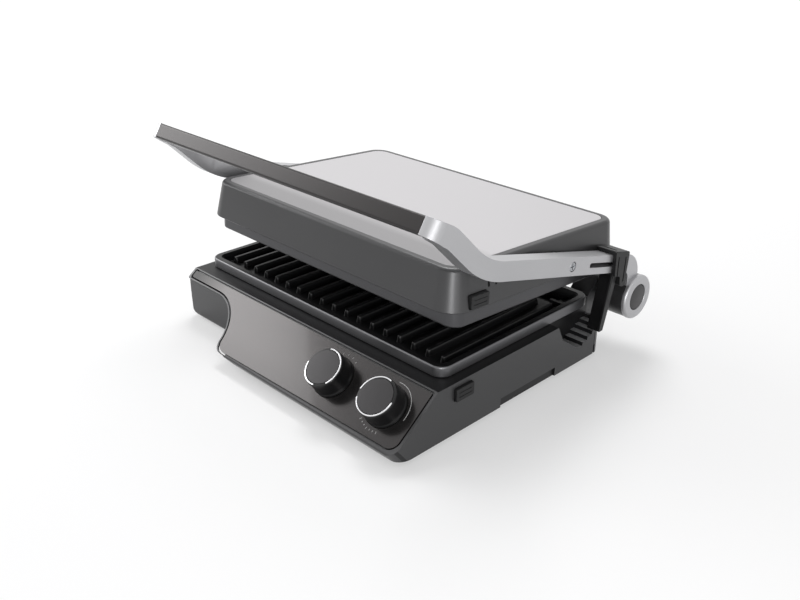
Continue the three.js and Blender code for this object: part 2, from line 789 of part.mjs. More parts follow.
const switchFace = -nose.skin - gap;
const neck = knobHole - gap;
addSwitch(
  "temperature_switch",
  knobPlaces.temperature,
  block(
    -thermostat.halfWidth,
    thermostat.halfWidth,
    -thermostat.halfHeight,
    thermostat.halfHeight,
    switchFace - thermostat.depth - spindle.radius,
    switchFace,
  ),
  neck,
);
addSwitch(
  "timer_switch",
  knobPlaces.timer,
  rod(timerCase.radius, switchFace - timerCase.depth - spindle.radius, switchFace),
  neck,
);

// Hinges: a bracket and a fixed shaft on the base, a core that turns only when the grill opens flat,
// and a drum at the arm's lower end, closed by a light ring with a release button in it.
const hinge = {
  bracketFrom: 133,
  bracketTo: 155,
  boss: 16,
  bracketLow: 16,
  bracketHigh: 50,
  shaft: 8,
  shaftEnd: 182,
  coreOuter: 12,
  drumFrom: 166,
  drumOuter: 22,
  capOuter: 22.4,
  capEnd: 196,
  button: 12.8,
  buttonFrom: 189.5,
  buttonTravel: 3,
  chamfer: 1,
};
const hingeSpring = { outer: 7, inner: 5.4 };

// A web from the base's rear wall to the boss round the shaft.
function hingeBracket() {
  const { bracketFrom, bracketTo, boss, bracketLow, bracketHigh, shaft } = hinge;
  const wallFace = baseRear + gap;
  const web = outline([
    [wallFace, bracketLow, 0],
    [hingeY, hingeZ - boss, 0],
    [hingeY, hingeZ, 0],
    [hingeY - boss * slopeCos, hingeZ + boss * slopeSin, 0],
    [wallFace, bracketHigh, 0],
  ]);
  const eye = alongX(rod(boss, bracketFrom, bracketTo), hingeY, hingeZ);
  const bore = alongX(rod(shaft + gap, bracketFrom - overrun, bracketTo + overrun), hingeY, hingeZ);
  return prismX(web, bracketFrom, bracketTo).add(eye).subtract(bore);
}

function hingeDrum() {
  const { drumFrom, drumOuter, coreOuter, button, buttonFrom, buttonTravel, chamfer } = hinge;
  const pocket = buttonFrom - buttonTravel - gap;
  const end = armOuter - gap;
  return turned([
    [coreOuter + gap, drumFrom],
    [drumOuter - chamfer, drumFrom],
    [drumOuter, drumFrom + chamfer],
    [drumOuter, end],
    [button + gap, end],
    [button + gap, pocket],
    [coreOuter + gap, pocket],
  ]);
}

function hingeCap() {
  const { capOuter, capEnd, button, chamfer } = hinge;
  return turned([
    [button + gap, armOuter],
    [capOuter, armOuter],
    [capOuter, capEnd - chamfer],
    [capOuter - chamfer, capEnd],
    [button + gap, capEnd],
  ]);
}

// A solid that was turned about Z, laid on the hinge axis and placed on both sides.
function hingePair(name, body, material) {
  pair(name, alongX(body, hingeY, hingeZ), material, grill);
}

const { shaft, shaftEnd, coreOuter, bracketFrom, bracketTo, button: buttonRadius, buttonFrom } = hinge;
pair("hinge_bracket", hingeBracket(), graphite, grill);
hingePair("hinge_shaft", rod(shaft, bracketFrom, shaftEnd), zincSteel);
hingePair("hinge_core", sleeve(shaft + gap, coreOuter, bracketTo + gap, shaftEnd), zincSteel);
hingePair("hinge_drum", hingeDrum(), graphite);
hingePair("hinge_cap", hingeCap(), silver);
hingePair("hinge_release_button", rod(buttonRadius, buttonFrom, hinge.capEnd), darkMetal);
const { inner: springInner, outer: springOuter } = hingeSpring;
const hingeCoil = sleeve(springInner, springOuter, shaftEnd + gap, buttonFrom - gap, smallTurnSteps);
hingePair("hinge_button_spring", hingeCoil, zincSteel);

// Arms: each rises along one straight line, bends up at the shoulder and ends at the handle bar.
const arm = {
  shoulderY: 22.2,
  shoulderRound: 85,
  riser: 55.4,
  riserAngle: Math.PI / 4,
  wristRound: 50,
  reach: 24.3,
  reachAngle: THREE.MathUtils.degToRad(32.5),
  handSection: 15,
  elbowY: 242,
  elbowRound: 18,
  elbowFoot: 244,
  outerCorner: 12.5,
  edge: 1.6,
};
const lineHeight = (y) => pivotZ - (y - pivotY) * Math.tan(armSlope);

const shoulder = [arm.shoulderY, lineHeight(arm.shoulderY)];
const wrist = [
  shoulder[0] - arm.riser * Math.cos(arm.riserAngle),
  shoulder[1] + arm.riser * Math.sin(arm.riserAngle),
];
const hand = [
  wrist[0] - arm.reach * Math.cos(arm.reachAngle),
  wrist[1] + arm.reach * Math.sin(arm.reachAngle),
];

// The arm's side, moved inward by an edge distance.
function armSide(inset) {
  const line = rounded([
    [...hand, 0],
    [...wrist, arm.wristRound],
    [...shoulder, arm.shoulderRound],
    [arm.elbowY, lineHeight(arm.elbowY), arm.elbowRound],
    [arm.elbowFoot, hingeZ, 0],
  ]);
  const upper = [];
  const lower = [];
  line.forEach((point, at) => {
    const before = line[Math.max(at - 1, 0)];
    const after = line[Math.min(at + 1, line.length - 1)];
    const along = after.clone().sub(before).normalize();
    const half = (at ? armSection : arm.handSection) / 2 - inset;
    const out = new THREE.Vector2(-along.y, along.x).multiplyScalar(half);
    upper.push(point.clone().add(out));
    lower.unshift(point.clone().sub(out));
  });
  return new THREE.Shape([...lower, ...upper]);
}

// Across the handle's face: x, then out of the face, then down along it.
const handOut = new THREE.Vector3(0, -Math.cos(arm.reachAngle), Math.sin(arm.reachAngle));
const handDown = new THREE.Vector3().crossVectors(axisX, handOut);
const handPrism = (shape, from, to) =>
  prism(shape, from, to, axisX, handOut, handDown).translate([0, ...hand]);

const bar = { halfWidth: 179, thickness: 10.6, round: 3, tenon: 3, tenonLength: 5 };
const barMiddle = [
  hand[0] - (handOut.y * bar.thickness) / 2,
  hand[1] - (handOut.z * bar.thickness) / 2,
];
const slot = { from: 166.5, to: 219, halfHeight: 2.25 };
const fullRoundShare = 0.999; // of a half width, for an end that is one arc
const pivot = { head: 4.4, headDepth: 2.6, shank: 2.5, shankEnd: 160 };

function armBody() {
  const core = prismX(armSide(0), armInner + arm.edge, armOuter - arm.edge);
  const faces = prismX(armSide(arm.edge), armInner, armOuter);
  const reach = 2 * arm.handSection;
  const corner = outline([
    [armOuter - arm.outerCorner, 0, 0],
    [armOuter, 0, arm.outerCorner - gap],
    [armOuter, -arm.outerCorner, 0],
    [armOuter + overrun, -arm.outerCorner, 0],
    [armOuter + overrun, overrun, 0],
    [armOuter - arm.outerCorner, overrun, 0],
  ]);
  const ledge = rectangle(armInner - overrun, bar.halfWidth, -bar.thickness - gap, overrun, 0);
  const tenonBore = rod(bar.tenon + gap, bar.halfWidth - overrun, bar.halfWidth + bar.tenonLength);
  const tenon = alongX(tenonBore, ...barMiddle);
  const slotAngle = -THREE.MathUtils.radToDeg(armSlope);
  const slotLength = (slot.to - slot.from) / Math.cos(armSlope);
  const { halfHeight } = slot;
  const slotShape = rectangle(0, slotLength, -halfHeight, halfHeight, halfHeight * fullRoundShare);
  const slotCut = prismX(slotShape, armInner - overrun, armOuter + overrun)
    .rotate([slotAngle, 0, 0])
    .translate([0, slot.from, lineHeight(slot.from)]);
  const headBore = rod(pivot.head + gap, armOuter - pivot.headDepth - gap, armOuter + overrun);
  const head = alongX(headBore, pivotY, pivotZ);
  const shankBore = rod(pivot.shank + gap, armInner - overrun, armOuter, smallTurnSteps);
  const shank = alongX(shankBore, pivotY, pivotZ);
  const drumBore = rod(hinge.drumOuter + gap, armInner - overrun, armOuter + overrun);
  const drum = alongX(drumBore, hingeY, hingeZ);
  const hands = [handPrism(corner, -reach, reach), handPrism(ledge, -reach, reach), tenon];
  let body = core.add(faces);
  for (const cutter of [...hands, slotCut, head, shank, drum]) body = body.subtract(cutter);
  return body;
}

pair("arm", armBody(), silver, grill);

function handleBar() {
  const half = arm.handSection / 2;
  const section = rectangle(-bar.thickness, 0, -half, half, bar.round);
  const length = bar.halfWidth - gap;
  const grip = prism(section, -length, length, handOut, handDown, axisX).translate([0, ...hand]);
  const tenonEnd = bar.halfWidth + bar.tenonLength - gap;
  return grip.add(alongX(rod(bar.tenon, -tenonEnd, tenonEnd), ...barMiddle));
}

place("handle_bar", handleBar(), darkMetal, grill);

function pivotScrew() {
  const body = turned([
    [0, pivot.shankEnd],
    [pivot.shank, pivot.shankEnd],
    [pivot.shank, armOuter - pivot.headDepth],
    [pivot.head, armOuter - pivot.headDepth],
    [pivot.head, armOuter - gap],
    [0, armOuter - gap],
  ]);
  return alongX(body, pivotY, pivotZ);
}

pair("pivot_screw", pivotScrew(), zincSteel, grill);

// Height prop: a black stirrup round the right arm, whose foot stands on the rack.
const prop = {
  inner: 173.8,
  flangeOuter: 195.8,
  topFront: 203.5,
  topRear: 226.2,
  cover: 3,
  under: 12,
  footRear: 211,
  footFront: 205.5,
  footLow: 31.6,
  footInner: 170.5,
  footOuter: 184.5,
  legOuter: 191.8,
  legRear: 219,
  legFront: 213.5,
  bridge: 3, // how far the leg's root lies under the arm
  nick: 1,
  round: 3,
  lean: 4,
  drop: 2,
  skin: 1, // over the pin's outer end
};
const pin = { y: 214.5, radius: 1.9 };

function heightProp() {
  const across = (y, off) => [y, lineHeight(y) + off];
  const rise = (armSection / 2 + gap) / Math.cos(armSlope);
  const head = rise + prop.cover;
  const low = -rise - prop.under;
  const outerFace = outline([
    [...across(prop.topFront, head), prop.nick],
    [...across(prop.topFront + prop.nick, low), prop.round],
    [...across(prop.topRear - prop.lean, low - prop.drop), prop.round],
    [...across(prop.topRear, head), prop.round],
  ]);
  const body = prismX(outerFace, prop.inner, prop.flangeOuter);
  const before = prop.topFront - 2 * overrun;
  const behind = prop.topRear + 2 * overrun;
  const passageSide = outline([
    [...across(before, rise), 0],
    [...across(before, -rise), 0],
    [...across(behind, -rise), 0],
    [...across(behind, rise), 0],
  ]);
  const passage = prismX(passageSide, prop.inner - overrun, armOuter + gap);
  const top = lineHeight(prop.legFront) - rise - prop.bridge;
  const legRing = (inner, outer, front, rear, height) =>
    rectangle(inner, outer, front, rear, 0)
      .getPoints()
      .map((point) => new THREE.Vector3(point.x, point.y, height));
  const { footInner, footOuter, footFront, footRear, footLow, legOuter, legFront, legRear } = prop;
  const leg = loft([
    legRing(footInner, footOuter, footFront, footRear, footLow),
    legRing(prop.inner, legOuter, legFront, legRear, top),
  ]);
  const pinHole = rod(pin.radius + gap, armInner, prop.flangeOuter - prop.skin, smallTurnSteps);
  return body.subtract(passage).add(leg).subtract(alongX(pinHole, pin.y, lineHeight(pin.y)));
}

place("height_prop", heightProp(), blackPlastic, grill);
const pinEnd = prop.flangeOuter - prop.skin - gap;
const pinBody = rod(pin.radius, armInner + gap, pinEnd, smallTurnSteps);
place("prop_pin", alongX(pinBody, pin.y, lineHeight(pin.y)), zincSteel, grill);

// Lid: hangs on its two pivots between the arms; u runs to the rear and w up from the pivot.
const lid = new THREE.Group();
lid.position.set(0, pivotY, pivotZ);
lid.rotation.x = -lidTilt;
grill.add(lid);

const shell = {
  low: { height: -18.6, halfWidth: 173, front: -133.6, rear: 107, corner: 24 },
  high: { height: 17.7, halfWidth: 166, front: -127.3, rear: 104.5, corner: 18 },
  edge: 3,
};

// The lid's outline at a height, moved inward.
function lidRing(height, inset) {
  const { low, high } = shell;
  const share = (height - low.height) / (high.height - low.height);
  const at = (key) => low[key] + share * (high[key] - low[key]);
  return ring(at("halfWidth") - inset, at("front") + inset, at("rear") - inset, at("corner") - inset, height);
}

const topPanel = { halfWidth: 158, front: -120, rear: 97.5, corner: 12, thickness: 1, depth: 1.4 };
const upperButton = { front: -113, rear: -91, low: -16.4, high: -4.4, round: 1.5, proud: 3, play: 0.4 };
const vent = { first: -88.5, count: 5, pitch: 9.3, width: 2.5, low: -3.2, high: 6 };
const boss = { radius: 7, flange: 10, end: 174.7, seat: 161 };

function lidHousing() {
  const top = shell.high.height;
  const edge = shell.edge;
  const outer = loft([
    lidRing(shell.low.height, 0),
    lidRing(top - edge, 0),
    lidRing(top - edge / 3, edge / 3),
    lidRing(top, edge),
  ]);
  const roof = top - wall - topPanel.depth;
  const inside = loft([lidRing(shell.low.height - overrun, wall), lidRing(roof, wall)]);
  const { halfWidth, front, rear, corner, depth } = topPanel;
  const recess = prismZ(
    rectangle(-halfWidth - gap, halfWidth + gap, front - gap, rear + gap, corner),
    top - depth,
    top + overrun,
  );
  let body = outer.subtract(inside).subtract(recess);
  const from = shell.high.halfWidth - 2 * wall;
  const to = shell.low.halfWidth + overrun;
  body = body.subtract(prismX(buttonShape(upperButton, upperButton.play), from, to));
  for (let at = 0; at < vent.count; at += 1) {
    const u = vent.first + at * vent.pitch;
    body = body.subtract(block(from, to, u, u + vent.width, vent.low, vent.high));
  }
  const hole = alongX(rod(boss.radius + gap, from, to), 0, 0);
  return body.subtract(hole).subtract(hole.mirror([1, 0, 0]));
}

place("lid_housing", lidHousing(), graphite, lid);
place(
  "lid_top_panel",
  prismZ(
    rectangle(-topPanel.halfWidth, topPanel.halfWidth, topPanel.front, topPanel.rear, topPanel.corner),
    shell.high.height - topPanel.depth + gap,
    shell.high.height - topPanel.depth + gap + topPanel.thickness,
  ),
  brushedSteel,
  lid,
);

function pivotBoss() {
  const bore = pivot.shank + gap;
  const body = turned([
    [bore, boss.seat],
    [boss.flange, boss.seat],
    [boss.flange, boss.seat + wall / 2],
    [boss.radius, boss.seat + wall],
    [boss.radius, boss.end],
    [bore, boss.end],
  ]);
  return alongX(body, 0, 0);
}

pair("pivot_boss", pivotBoss(), blackPlastic, lid);

// Upper plate: the lower plate's twin turned face down, with its rim under the lid's edge.
const upperPlate = { front: -123.2, depth: 212.8, halfWidth: 167, bellyDepth: 3.6, seat: -18.9, rim: 15.4 };

function upperPlateBody() {
  const { depth, halfWidth, bellyDepth, rim } = upperPlate;
  const body = ribbedPlate(depth, halfWidth, bellyDepth, rim, false);
  return body.rotate([180, 0, 0]).translate([0, upperPlate.front + upperPlate.depth, upperPlate.seat]);
}

place("upper_grill_plate", upperPlateBody(), castCoating, lid);

// Upper pan and element, hung from the lid's roof.
const upperPan = { halfWidth: 148, front: -112, rear: 80, low: -14.5, high: -1, corner: 8, post: 6 };
const upperElement = {
  radius: element.radius,
  height: upperPlate.seat + upperPlate.bellyDepth + gap + element.radius,
  firstRun: -70,
  runPitch: 36,
  runs: 4,
  nearX: 95,
  farX: -105,
};

function upperPanBody() {
  const { halfWidth, front, rear, low, high, corner, post } = upperPan;
  const inside = halfWidth - sheet;
  const outer = prismZ(rectangle(-halfWidth, halfWidth, front, rear, corner), low, high);
  const hollow = prismZ(
    rectangle(-inside, inside, front + sheet, rear - sheet, corner - sheet),
    low - overrun,
    high - sheet,
  );
  let body = outer.subtract(hollow);
  const roof = shell.high.height - wall - topPanel.depth - gap;
  for (const x of [-halfWidth / 2, halfWidth / 2]) {
    for (const y of [front / 2, rear / 2]) {
      body = body.add(rod(post, high - sheet / 2, roof, smallTurnSteps).translate([x, y, 0]));
    }
  }
  const { radius, firstRun, runPitch, runs, height } = upperElement;
  for (const at of [0, runs - 1]) {
    const hole = rod(radius + gap, inside - overrun, halfWidth + overrun);
    body = body.subtract(alongX(hole, firstRun + at * runPitch, height));
  }
  return body;
}

place("upper_reflector_pan", upperPanBody(), aluminisedSheet, lid);
place(
  "upper_heating_element",
  heater(upperElement, upperElement.height, upperPan.halfWidth + wall),
  darkMetal,
  lid,
);

const upperFace = shell.low.halfWidth - wall / 2;
const upperKey = releaseButton(upperButton, upperFace, 2 * wall);
place("upper_release_button", upperKey, blackPlastic, lid);
const upperSpring = buttonSpring(upperButton, upperPan.halfWidth, upperFace, 2 * wall, 0);
place("upper_button_spring", upperSpring, zincSteel, lid);

// The grill is centred front to rear under its outline.
const extent = new THREE.Box3().setFromObject(grill, true);
grill.position.y = -(extent.min.y + extent.max.y) / 2;

export default grill;
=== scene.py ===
import math

import bmesh
import bpy
from mathutils import Matrix, Vector


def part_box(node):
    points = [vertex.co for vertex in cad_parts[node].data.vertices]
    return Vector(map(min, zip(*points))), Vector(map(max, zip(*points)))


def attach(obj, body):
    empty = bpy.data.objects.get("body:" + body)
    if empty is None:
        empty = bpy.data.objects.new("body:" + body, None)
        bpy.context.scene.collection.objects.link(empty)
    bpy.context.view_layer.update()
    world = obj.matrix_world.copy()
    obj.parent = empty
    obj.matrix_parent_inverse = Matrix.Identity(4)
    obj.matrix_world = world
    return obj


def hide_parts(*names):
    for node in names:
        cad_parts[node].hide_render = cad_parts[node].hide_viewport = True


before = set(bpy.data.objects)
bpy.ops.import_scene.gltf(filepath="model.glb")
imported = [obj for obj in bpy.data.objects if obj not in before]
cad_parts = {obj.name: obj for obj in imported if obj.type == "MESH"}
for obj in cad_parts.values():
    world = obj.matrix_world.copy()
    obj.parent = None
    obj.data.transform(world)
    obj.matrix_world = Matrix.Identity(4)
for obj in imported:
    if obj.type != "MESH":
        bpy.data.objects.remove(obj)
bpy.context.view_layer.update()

# Camera: a long view from beyond the front right corner, a little above the lid, as on a product page.
# Its place and direction come from the straight edges of the housing, the rim and the lid.
azimuth = math.radians(45.48)
elevation = math.radians(25.68)
roll = math.radians(-0.17)
lens = bpy.data.cameras.new("camera")
lens.sensor_width = 36
lens.lens = 40.61
lens.clip_start = 0.01
camera = bpy.data.objects.new("camera", lens)
bpy.context.scene.collection.objects.link(camera)
flat = math.cos(elevation)
ahead = Vector((-math.sin(azimuth) * flat, math.cos(azimuth) * flat, -math.sin(elevation)))
level = ahead.cross(Vector((0, 0, 1))).normalized()
down = ahead.cross(level)
right_of_view = math.cos(roll) * level + math.sin(roll) * down
down_of_view = -math.sin(roll) * level + math.cos(roll) * down
turn = Matrix((right_of_view, -down_of_view, -ahead)).transposed().to_4x4()
camera_place = (0.6007, -0.5776, 0.4372)
camera.matrix_world = Matrix.Translation(camera_place) @ turn
bpy.context.scene.camera = camera

# Light: a white studio with a soft box overhead, a wide one to the left, which the control panel mirrors,
# and a narrow one each at the right and in front. The floor is white paper that keeps the soft shadow.
scene = bpy.context.scene
scene.view_settings.view_transform = "Standard"
world = bpy.data.worlds.new("studio")
scene.world = world
world.use_nodes = True
sky = world.node_tree
sky.nodes.clear()


def feed(shader, inputs):
    """Gives a shader node its inputs, each a value or the output of another node."""
    for key, value in inputs.items():
        if isinstance(value, bpy.types.NodeSocket):
            shader.id_data.links.new(value, shader.inputs[key])
        else:
            shader.inputs[key].default_value = value
    return shader


def shader_node(tree, kind, inputs):
    return feed(tree.nodes.new("ShaderNode" + kind), inputs)


def seen_rays(tree):
    """1 for what the camera, a glossy surface or a clear one sees, and 0 for plain lighting."""
    ray = shader_node(tree, "LightPath", {})
    seen = ray.outputs["Is Camera Ray"]
    for kind in ("Is Glossy Ray", "Is Transmission Ray"):
        either = shader_node(tree, "Math", {0: seen, 1: ray.outputs[kind]})
        either.operation = "MAXIMUM"
        seen = either.outputs[0]
    return seen


white = shader_node(sky, "Background", {"Color": (1, 1, 1, 1)})
room = shader_node(sky, "Background", {"Color": (1, 1, 1, 1), "Strength": 0.42})
mixed = shader_node(sky, "MixShader", {0: seen_rays(sky), 1: room.outputs[0], 2: white.outputs[0]})
shader_node(sky, "OutputWorld", {"Surface": mixed.outputs[0]})


def light_box(name, place, aim, width, height, power):
    """A soft box at a place, turned towards a point on the grill."""
    lamp = bpy.data.lights.new(name, "AREA")
    lamp.shape = "RECTANGLE"
    lamp.size = width
    lamp.size_y = height
    lamp.energy = power
    box = bpy.data.objects.new(name, lamp)
    box.location = place
    box.rotation_euler = (Vector(aim) - Vector(place)).to_track_quat("-Z", "Y").to_euler()
    box.visible_camera = False
    scene.collection.objects.link(box)


grill_middle = (0, 0, 0.1)
light_box("overhead_box", (-0.45, 0.45, 1.35), grill_middle, width=0.7, height=0.7, power=13)
light_box("left_box", (-1.4, -0.5, 0.76), grill_middle, width=1.0, height=0.82, power=11.5)
light_box("right_strip", (1.3, -0.55, 0.5), (0.15, 0, 0.1), width=0.25, height=0.9, power=2.4)
light_box("front_strip", (1.05, -1.0, 0.28), (0.15, -0.1, 0.08), width=0.22, height=0.5, power=7)

paper = bpy.data.materials.new("white_paper")
paper.use_nodes = True
sheet = paper.node_tree
sheet.nodes.clear()
matt = shader_node(sheet, "BsdfDiffuse", {"Color": (0.86, 0.86, 0.865, 1)})
bright = shader_node(sheet, "Emission", {"Strength": 1.06})
away = shader_node(sheet, "VectorMath", {0: shader_node(sheet, "TexCoord", {}).outputs["Object"]})
away.operation = "LENGTH"
spread = {"From Min": 0.3, "From Max": 1.1, "To Min": 0.4, "To Max": 1}
fade = shader_node(sheet, "MapRange", {**spread, "Value": away.outputs["Value"]})
share = shader_node(sheet, "Math", {0: seen_rays(sheet), 1: fade.outputs[0]})
share.operation = "MULTIPLY"
mixed = shader_node(sheet, "MixShader", {0: share.outputs[0], 1: matt.outputs[0], 2: bright.outputs[0]})
shader_node(sheet, "OutputMaterial", {"Surface": mixed.outputs[0]})
floor_mesh = bpy.data.meshes.new("floor")
reach = 12
floor_corners = [(-reach, -reach, 0), (reach, -reach, 0), (reach, reach, 0), (-reach, reach, 0)]
floor_mesh.from_pydata(floor_corners, [], [(0, 1, 2, 3)])
floor_mesh.materials.append(paper)
floor = bpy.data.objects.new("floor", floor_mesh)
scene.collection.objects.link(floor)

# Base housing: one shell of glass-filled plastic, injection moulded and painted in satin graphite.
# The control nose in front, the rack pocket at the right rear and the plate opening are all moulded in.
# Sizes are in millimetres from the front edge of the lower plate, as in the CAD.
mm = 0.001
plate_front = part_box("lower_grill_plate")[0].y
wall = 3
gap = 0.3
past = 2
beyond = 300
half_width = 178
rear_face = 222
rear_radius = 13
front_face = -11
deck = 54.8
skirt = 4.5
slope_top = (-15.6, 54)
slope_angle = math.radians(38)
slope_cos = math.cos(slope_angle)
slope_sin = math.sin(slope_angle)
slope_length = 64


def in_frame(point):
    x, y, z = point
    return Vector((x * mm, plate_front + y * mm, z * mm))


def outline(*corners, steps=10):
    """Points along corners (u, v, radius); a corner with a radius becomes an arc."""
    points = []
    for at, (u, v, radius) in enumerate(corners):
        corner = Vector((u, v))
        if not radius:
            points.append(corner)
            continue
        back = (Vector(corners[at - 1][:2]) - corner).normalized()
        on = (Vector(corners[(at + 1) % len(corners)][:2]) - corner).normalized()
        half = back.angle(on) / 2
        centre = corner + (back + on).normalized() * radius / math.sin(half)
        start = corner + back * radius / math.tan(half) - centre
        sweep = math.copysign(math.pi - 2 * half, on.x * back.y - on.y * back.x)
        for step in range(steps + 1):
            points.append(centre + Matrix.Rotation(sweep * step / steps, 2) @ start)
    return points


def box_outline(left, right, low, high, radius=0, steps=10):
    corners = ((left, low, radius), (right, low, radius), (right, high, radius), (left, high, radius))
    return outline(*corners, steps=steps)


def skin(name, rings, ring_shaped=False):
    """A closed body through rings of points in millimetres, capped at both ends or joined round."""
    build = bmesh.new()
    loops = [[build.verts.new(in_frame(point)) for point in ring] for ring in rings]
    pairs = list(zip(loops, loops[1:]))
    if ring_shaped:
        pairs.append((loops[-1], loops[0]))
    else:
        build.faces.new(reversed(loops[0]))
        build.faces.new(loops[-1])
    for low, high in pairs:
        for at in range(len(low)):
            after = (at + 1) % len(low)
            build.faces.new((low[at], low[after], high[after], high[at]))
    bmesh.ops.recalc_face_normals(build, faces=build.faces)
    mesh = bpy.data.meshes.new(name)
    build.to_mesh(mesh)
    build.free()
    made = bpy.data.objects.new(name, mesh)
    scene.collection.objects.link(made)
    return made


def upward(u, v, t):
    return (u, v, t)


def sideways(u, v, t):
    return (t, u, v)


def rearward(u, v, t):
    return (u, t, v)


def down_slope(x, s, n):
    """A point of the control slope: x across, s down it from its top edge, n out of it."""
    y = slope_top[0] - s * slope_cos - n * slope_sin
    return (x, y, slope_top[1] - s * slope_sin + n * slope_cos)


def prism(points, start, end, way, name="cutter"):
    """A body with the same outline from start to end; way(u, v, t) says how it lies."""
    rings = [[way(point[0], point[1], t) for point in points] for t in (start, end)]
    return skin(name, rings)


def brick(x0, x1, y0, y1, z0, z1):
    return prism(box_outline(x0, x1, y0, y1), z0, z1, upward)


def turned(profile, way, name="cutter", facets=64, bored=False):
    """A lathe body of (radius, height) points, laid by way(a, b, height); bored, the profile is closed."""
    around = [2 * math.pi * at / facets for at in range(facets)]
    rings = [[way(r * math.cos(a), r * math.sin(a), h) for a in around] for r, h in profile]
    return skin(name, rings, bored)


def settle(body):
    """Makes the mesh the finished one, with its modifiers applied."""
    made = bpy.data.meshes.new_from_object(body.evaluated_get(bpy.context.evaluated_depsgraph_get()))
    body.modifiers.clear()
    body.data = made
    return body


def combine(body, operation, tools):
    """Cuts a body by the tools, joins them to it, or keeps what they share, and uses the tools up."""
    for tool in tools:
        change = body.modifiers.new("combine", "BOOLEAN")
        change.operation = operation
        change.solver = "EXACT"
        change.object = tool
    settle(body)
    for tool in tools:
        bpy.data.objects.remove(tool)
    return body


def cut(body, *tools):
    return combine(body, "DIFFERENCE", tools)


def join(body, *tools):
    return combine(body, "UNION", tools)


def common(body, *tools):
    return combine(body, "INTERSECT", tools)


def mirrored(body, name="cutter"):
    """A copy of a body on the other side of the grill."""
    mesh = body.data.copy()
    mesh.transform(Matrix.Scale(-1, 4, (1, 0, 0)))
    mesh.flip_normals()
    made = bpy.data.objects.new(name, mesh)
    scene.collection.objects.link(made)
    return made


def ease(body, radius, steps=3, limit=32):
    """Rounds every edge sharper than the limit, as a mould or a polishing wheel leaves it."""
    build = bmesh.new()
    build.from_mesh(body.data)
    bmesh.ops.remove_doubles(build, verts=build.verts, dist=0.005 * mm)
    flat_angle = math.radians(0.6)
    bmesh.ops.dissolve_limit(build, angle_limit=flat_angle, verts=build.verts, edges=build.edges)
    build.to_mesh(body.data)
    build.free()
    change = body.modifiers.new("ease", "BEVEL")
    change.width = radius * mm
    change.segments = steps
    change.limit_method = "ANGLE"
    change.angle_limit = math.radians(limit)
    change.miter_outer = "MITER_ARC"
    settle(body)
    return body


def shine(body, sharp=35):
    """Smooth shading that keeps flat faces flat and real edges crisp."""
    body.data.shade_smooth()
    body.data.set_sharp_from_angle(angle=math.radians(sharp))
    change = body.modifiers.new("shine", "WEIGHTED_NORMAL")
    change.keep_sharp = True
    change.weight = 80
    return settle(body)


def tone(red, green, blue):
    """A shader colour from one that is read off a screen, 0 to 255."""
    return tuple(((c / 255 + 0.055) / 1.055) ** 2.4 for c in (red, green, blue)) + (1,)


def finish(
    name, colour, roughness, metal=0, grain=0, grain_size=0.0006, brushed=None, coat=0, wear=0.06, gleam=0.5
):
    """A finish with fine grain or brush lines, and a little unevenness in its gloss and colour."""
    made = bpy.data.materials.new(name)
    made.use_nodes = True
    tree = made.node_tree
    spot = shader_node(tree, "TexCoord", {}).outputs["Object"]
    cloud = shader_node(tree, "TexNoise", {"Scale": 14, "Detail": 3, "Vector": spot})
    stretch = shader_node(tree, "Mapping", {"Scale": brushed or (1, 1, 1), "Vector": spot})
    fine = shader_node(tree, "TexNoise", {"Scale": 1 / grain_size, "Detail": 2, "Vector": stretch.outputs[0]})
    uneven = (fine if brushed else cloud).outputs["Fac"]
    gloss = {"To Min": roughness * 0.88, "To Max": roughness * 1.12, "Value": uneven}
    blend = tree.nodes.new("ShaderNodeMix")
    blend.data_type = "RGBA"
    darker, lighter = [[c * (1 + change) for c in colour[:3]] + [1] for change in (-wear, wear)]
    feed(blend, {"A": darker, "B": lighter, "Factor": uneven})
    shader = feed(
        tree.nodes["Principled BSDF"],
        {
            "Metallic": metal,
            "Specular IOR Level": gleam,
            "Coat Weight": coat,
            "Coat Roughness": 0.06,
            "Roughness": shader_node(tree, "MapRange", gloss).outputs[0],
            "Base Color": blend.outputs["Result"],
        },
    )
    if grain:
        relief = {"Strength": grain, "Distance": 0.0001, "Height": fine.outputs["Fac"]}
        feed(shader, {"Normal": shader_node(tree, "Bump", relief).outputs[0]})
    return made


def painted_shade_along(material, axis, dark_end, light_end, least):
    """Paints shade into a finish along one axis, from its full tone at the light end to the least share of
    it.
    """
    tree = material.node_tree
    spot = shader_node(tree, "SeparateXYZ", {0: shader_node(tree, "TexCoord", {}).outputs["Object"]})
    span = {"From Min": dark_end, "From Max": light_end, "To Min": least, "To Max": 1}
    depth = shader_node(tree, "MapRange", {**span, "Value": spot.outputs[axis]})
    shader = tree.nodes["Principled BSDF"]
    colour = shader.inputs["Base Color"].links[0].from_socket
    painted_shade_tint = shader_node(tree, "VectorMath", {0: colour, 1: depth.outputs[0]})
    painted_shade_tint.operation = "MULTIPLY"
    feed(shader, {"Base Color": painted_shade_tint.outputs[0]})


def fit(piece, body, slot, material, *nodes):
    """Dresses a piece and hangs it on its body in place of its CAD nodes."""
    piece.data.materials.clear()
    piece.data.materials.append(material)
    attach(piece, body)
    if nodes:
        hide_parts(*nodes)
    return piece


def dress(material, *nodes):
    """Gives carried CAD nodes their finish."""
    for node in nodes:
        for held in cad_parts[node].material_slots:
            held.material = material


graphite = finish("graphite_paint", tone(66, 66, 67), 0.36, metal=0.55, grain=0.12, grain_size=0.0004)
strip_end = -118.5
strip_width = 9.6
big_radius = 48.5
foot_line = 61
toe = -57
panel_right = 174
panel_left = -169.5
panel_thick = 2.2
panel_radius = 10
panel_small_radius = 1.5
panel_strip_radius = 3
seam = 1.5
rim_width = 3


def swept(start, bend, end, steps):
    """Points of a smooth curve from start to end that leans towards the bend, without its start."""
    shares = [step / steps for step in range(1, steps + 1)]
    return [(1 - t) ** 2 * start + 2 * t * (1 - t) * bend + t * t * end for t in shares]


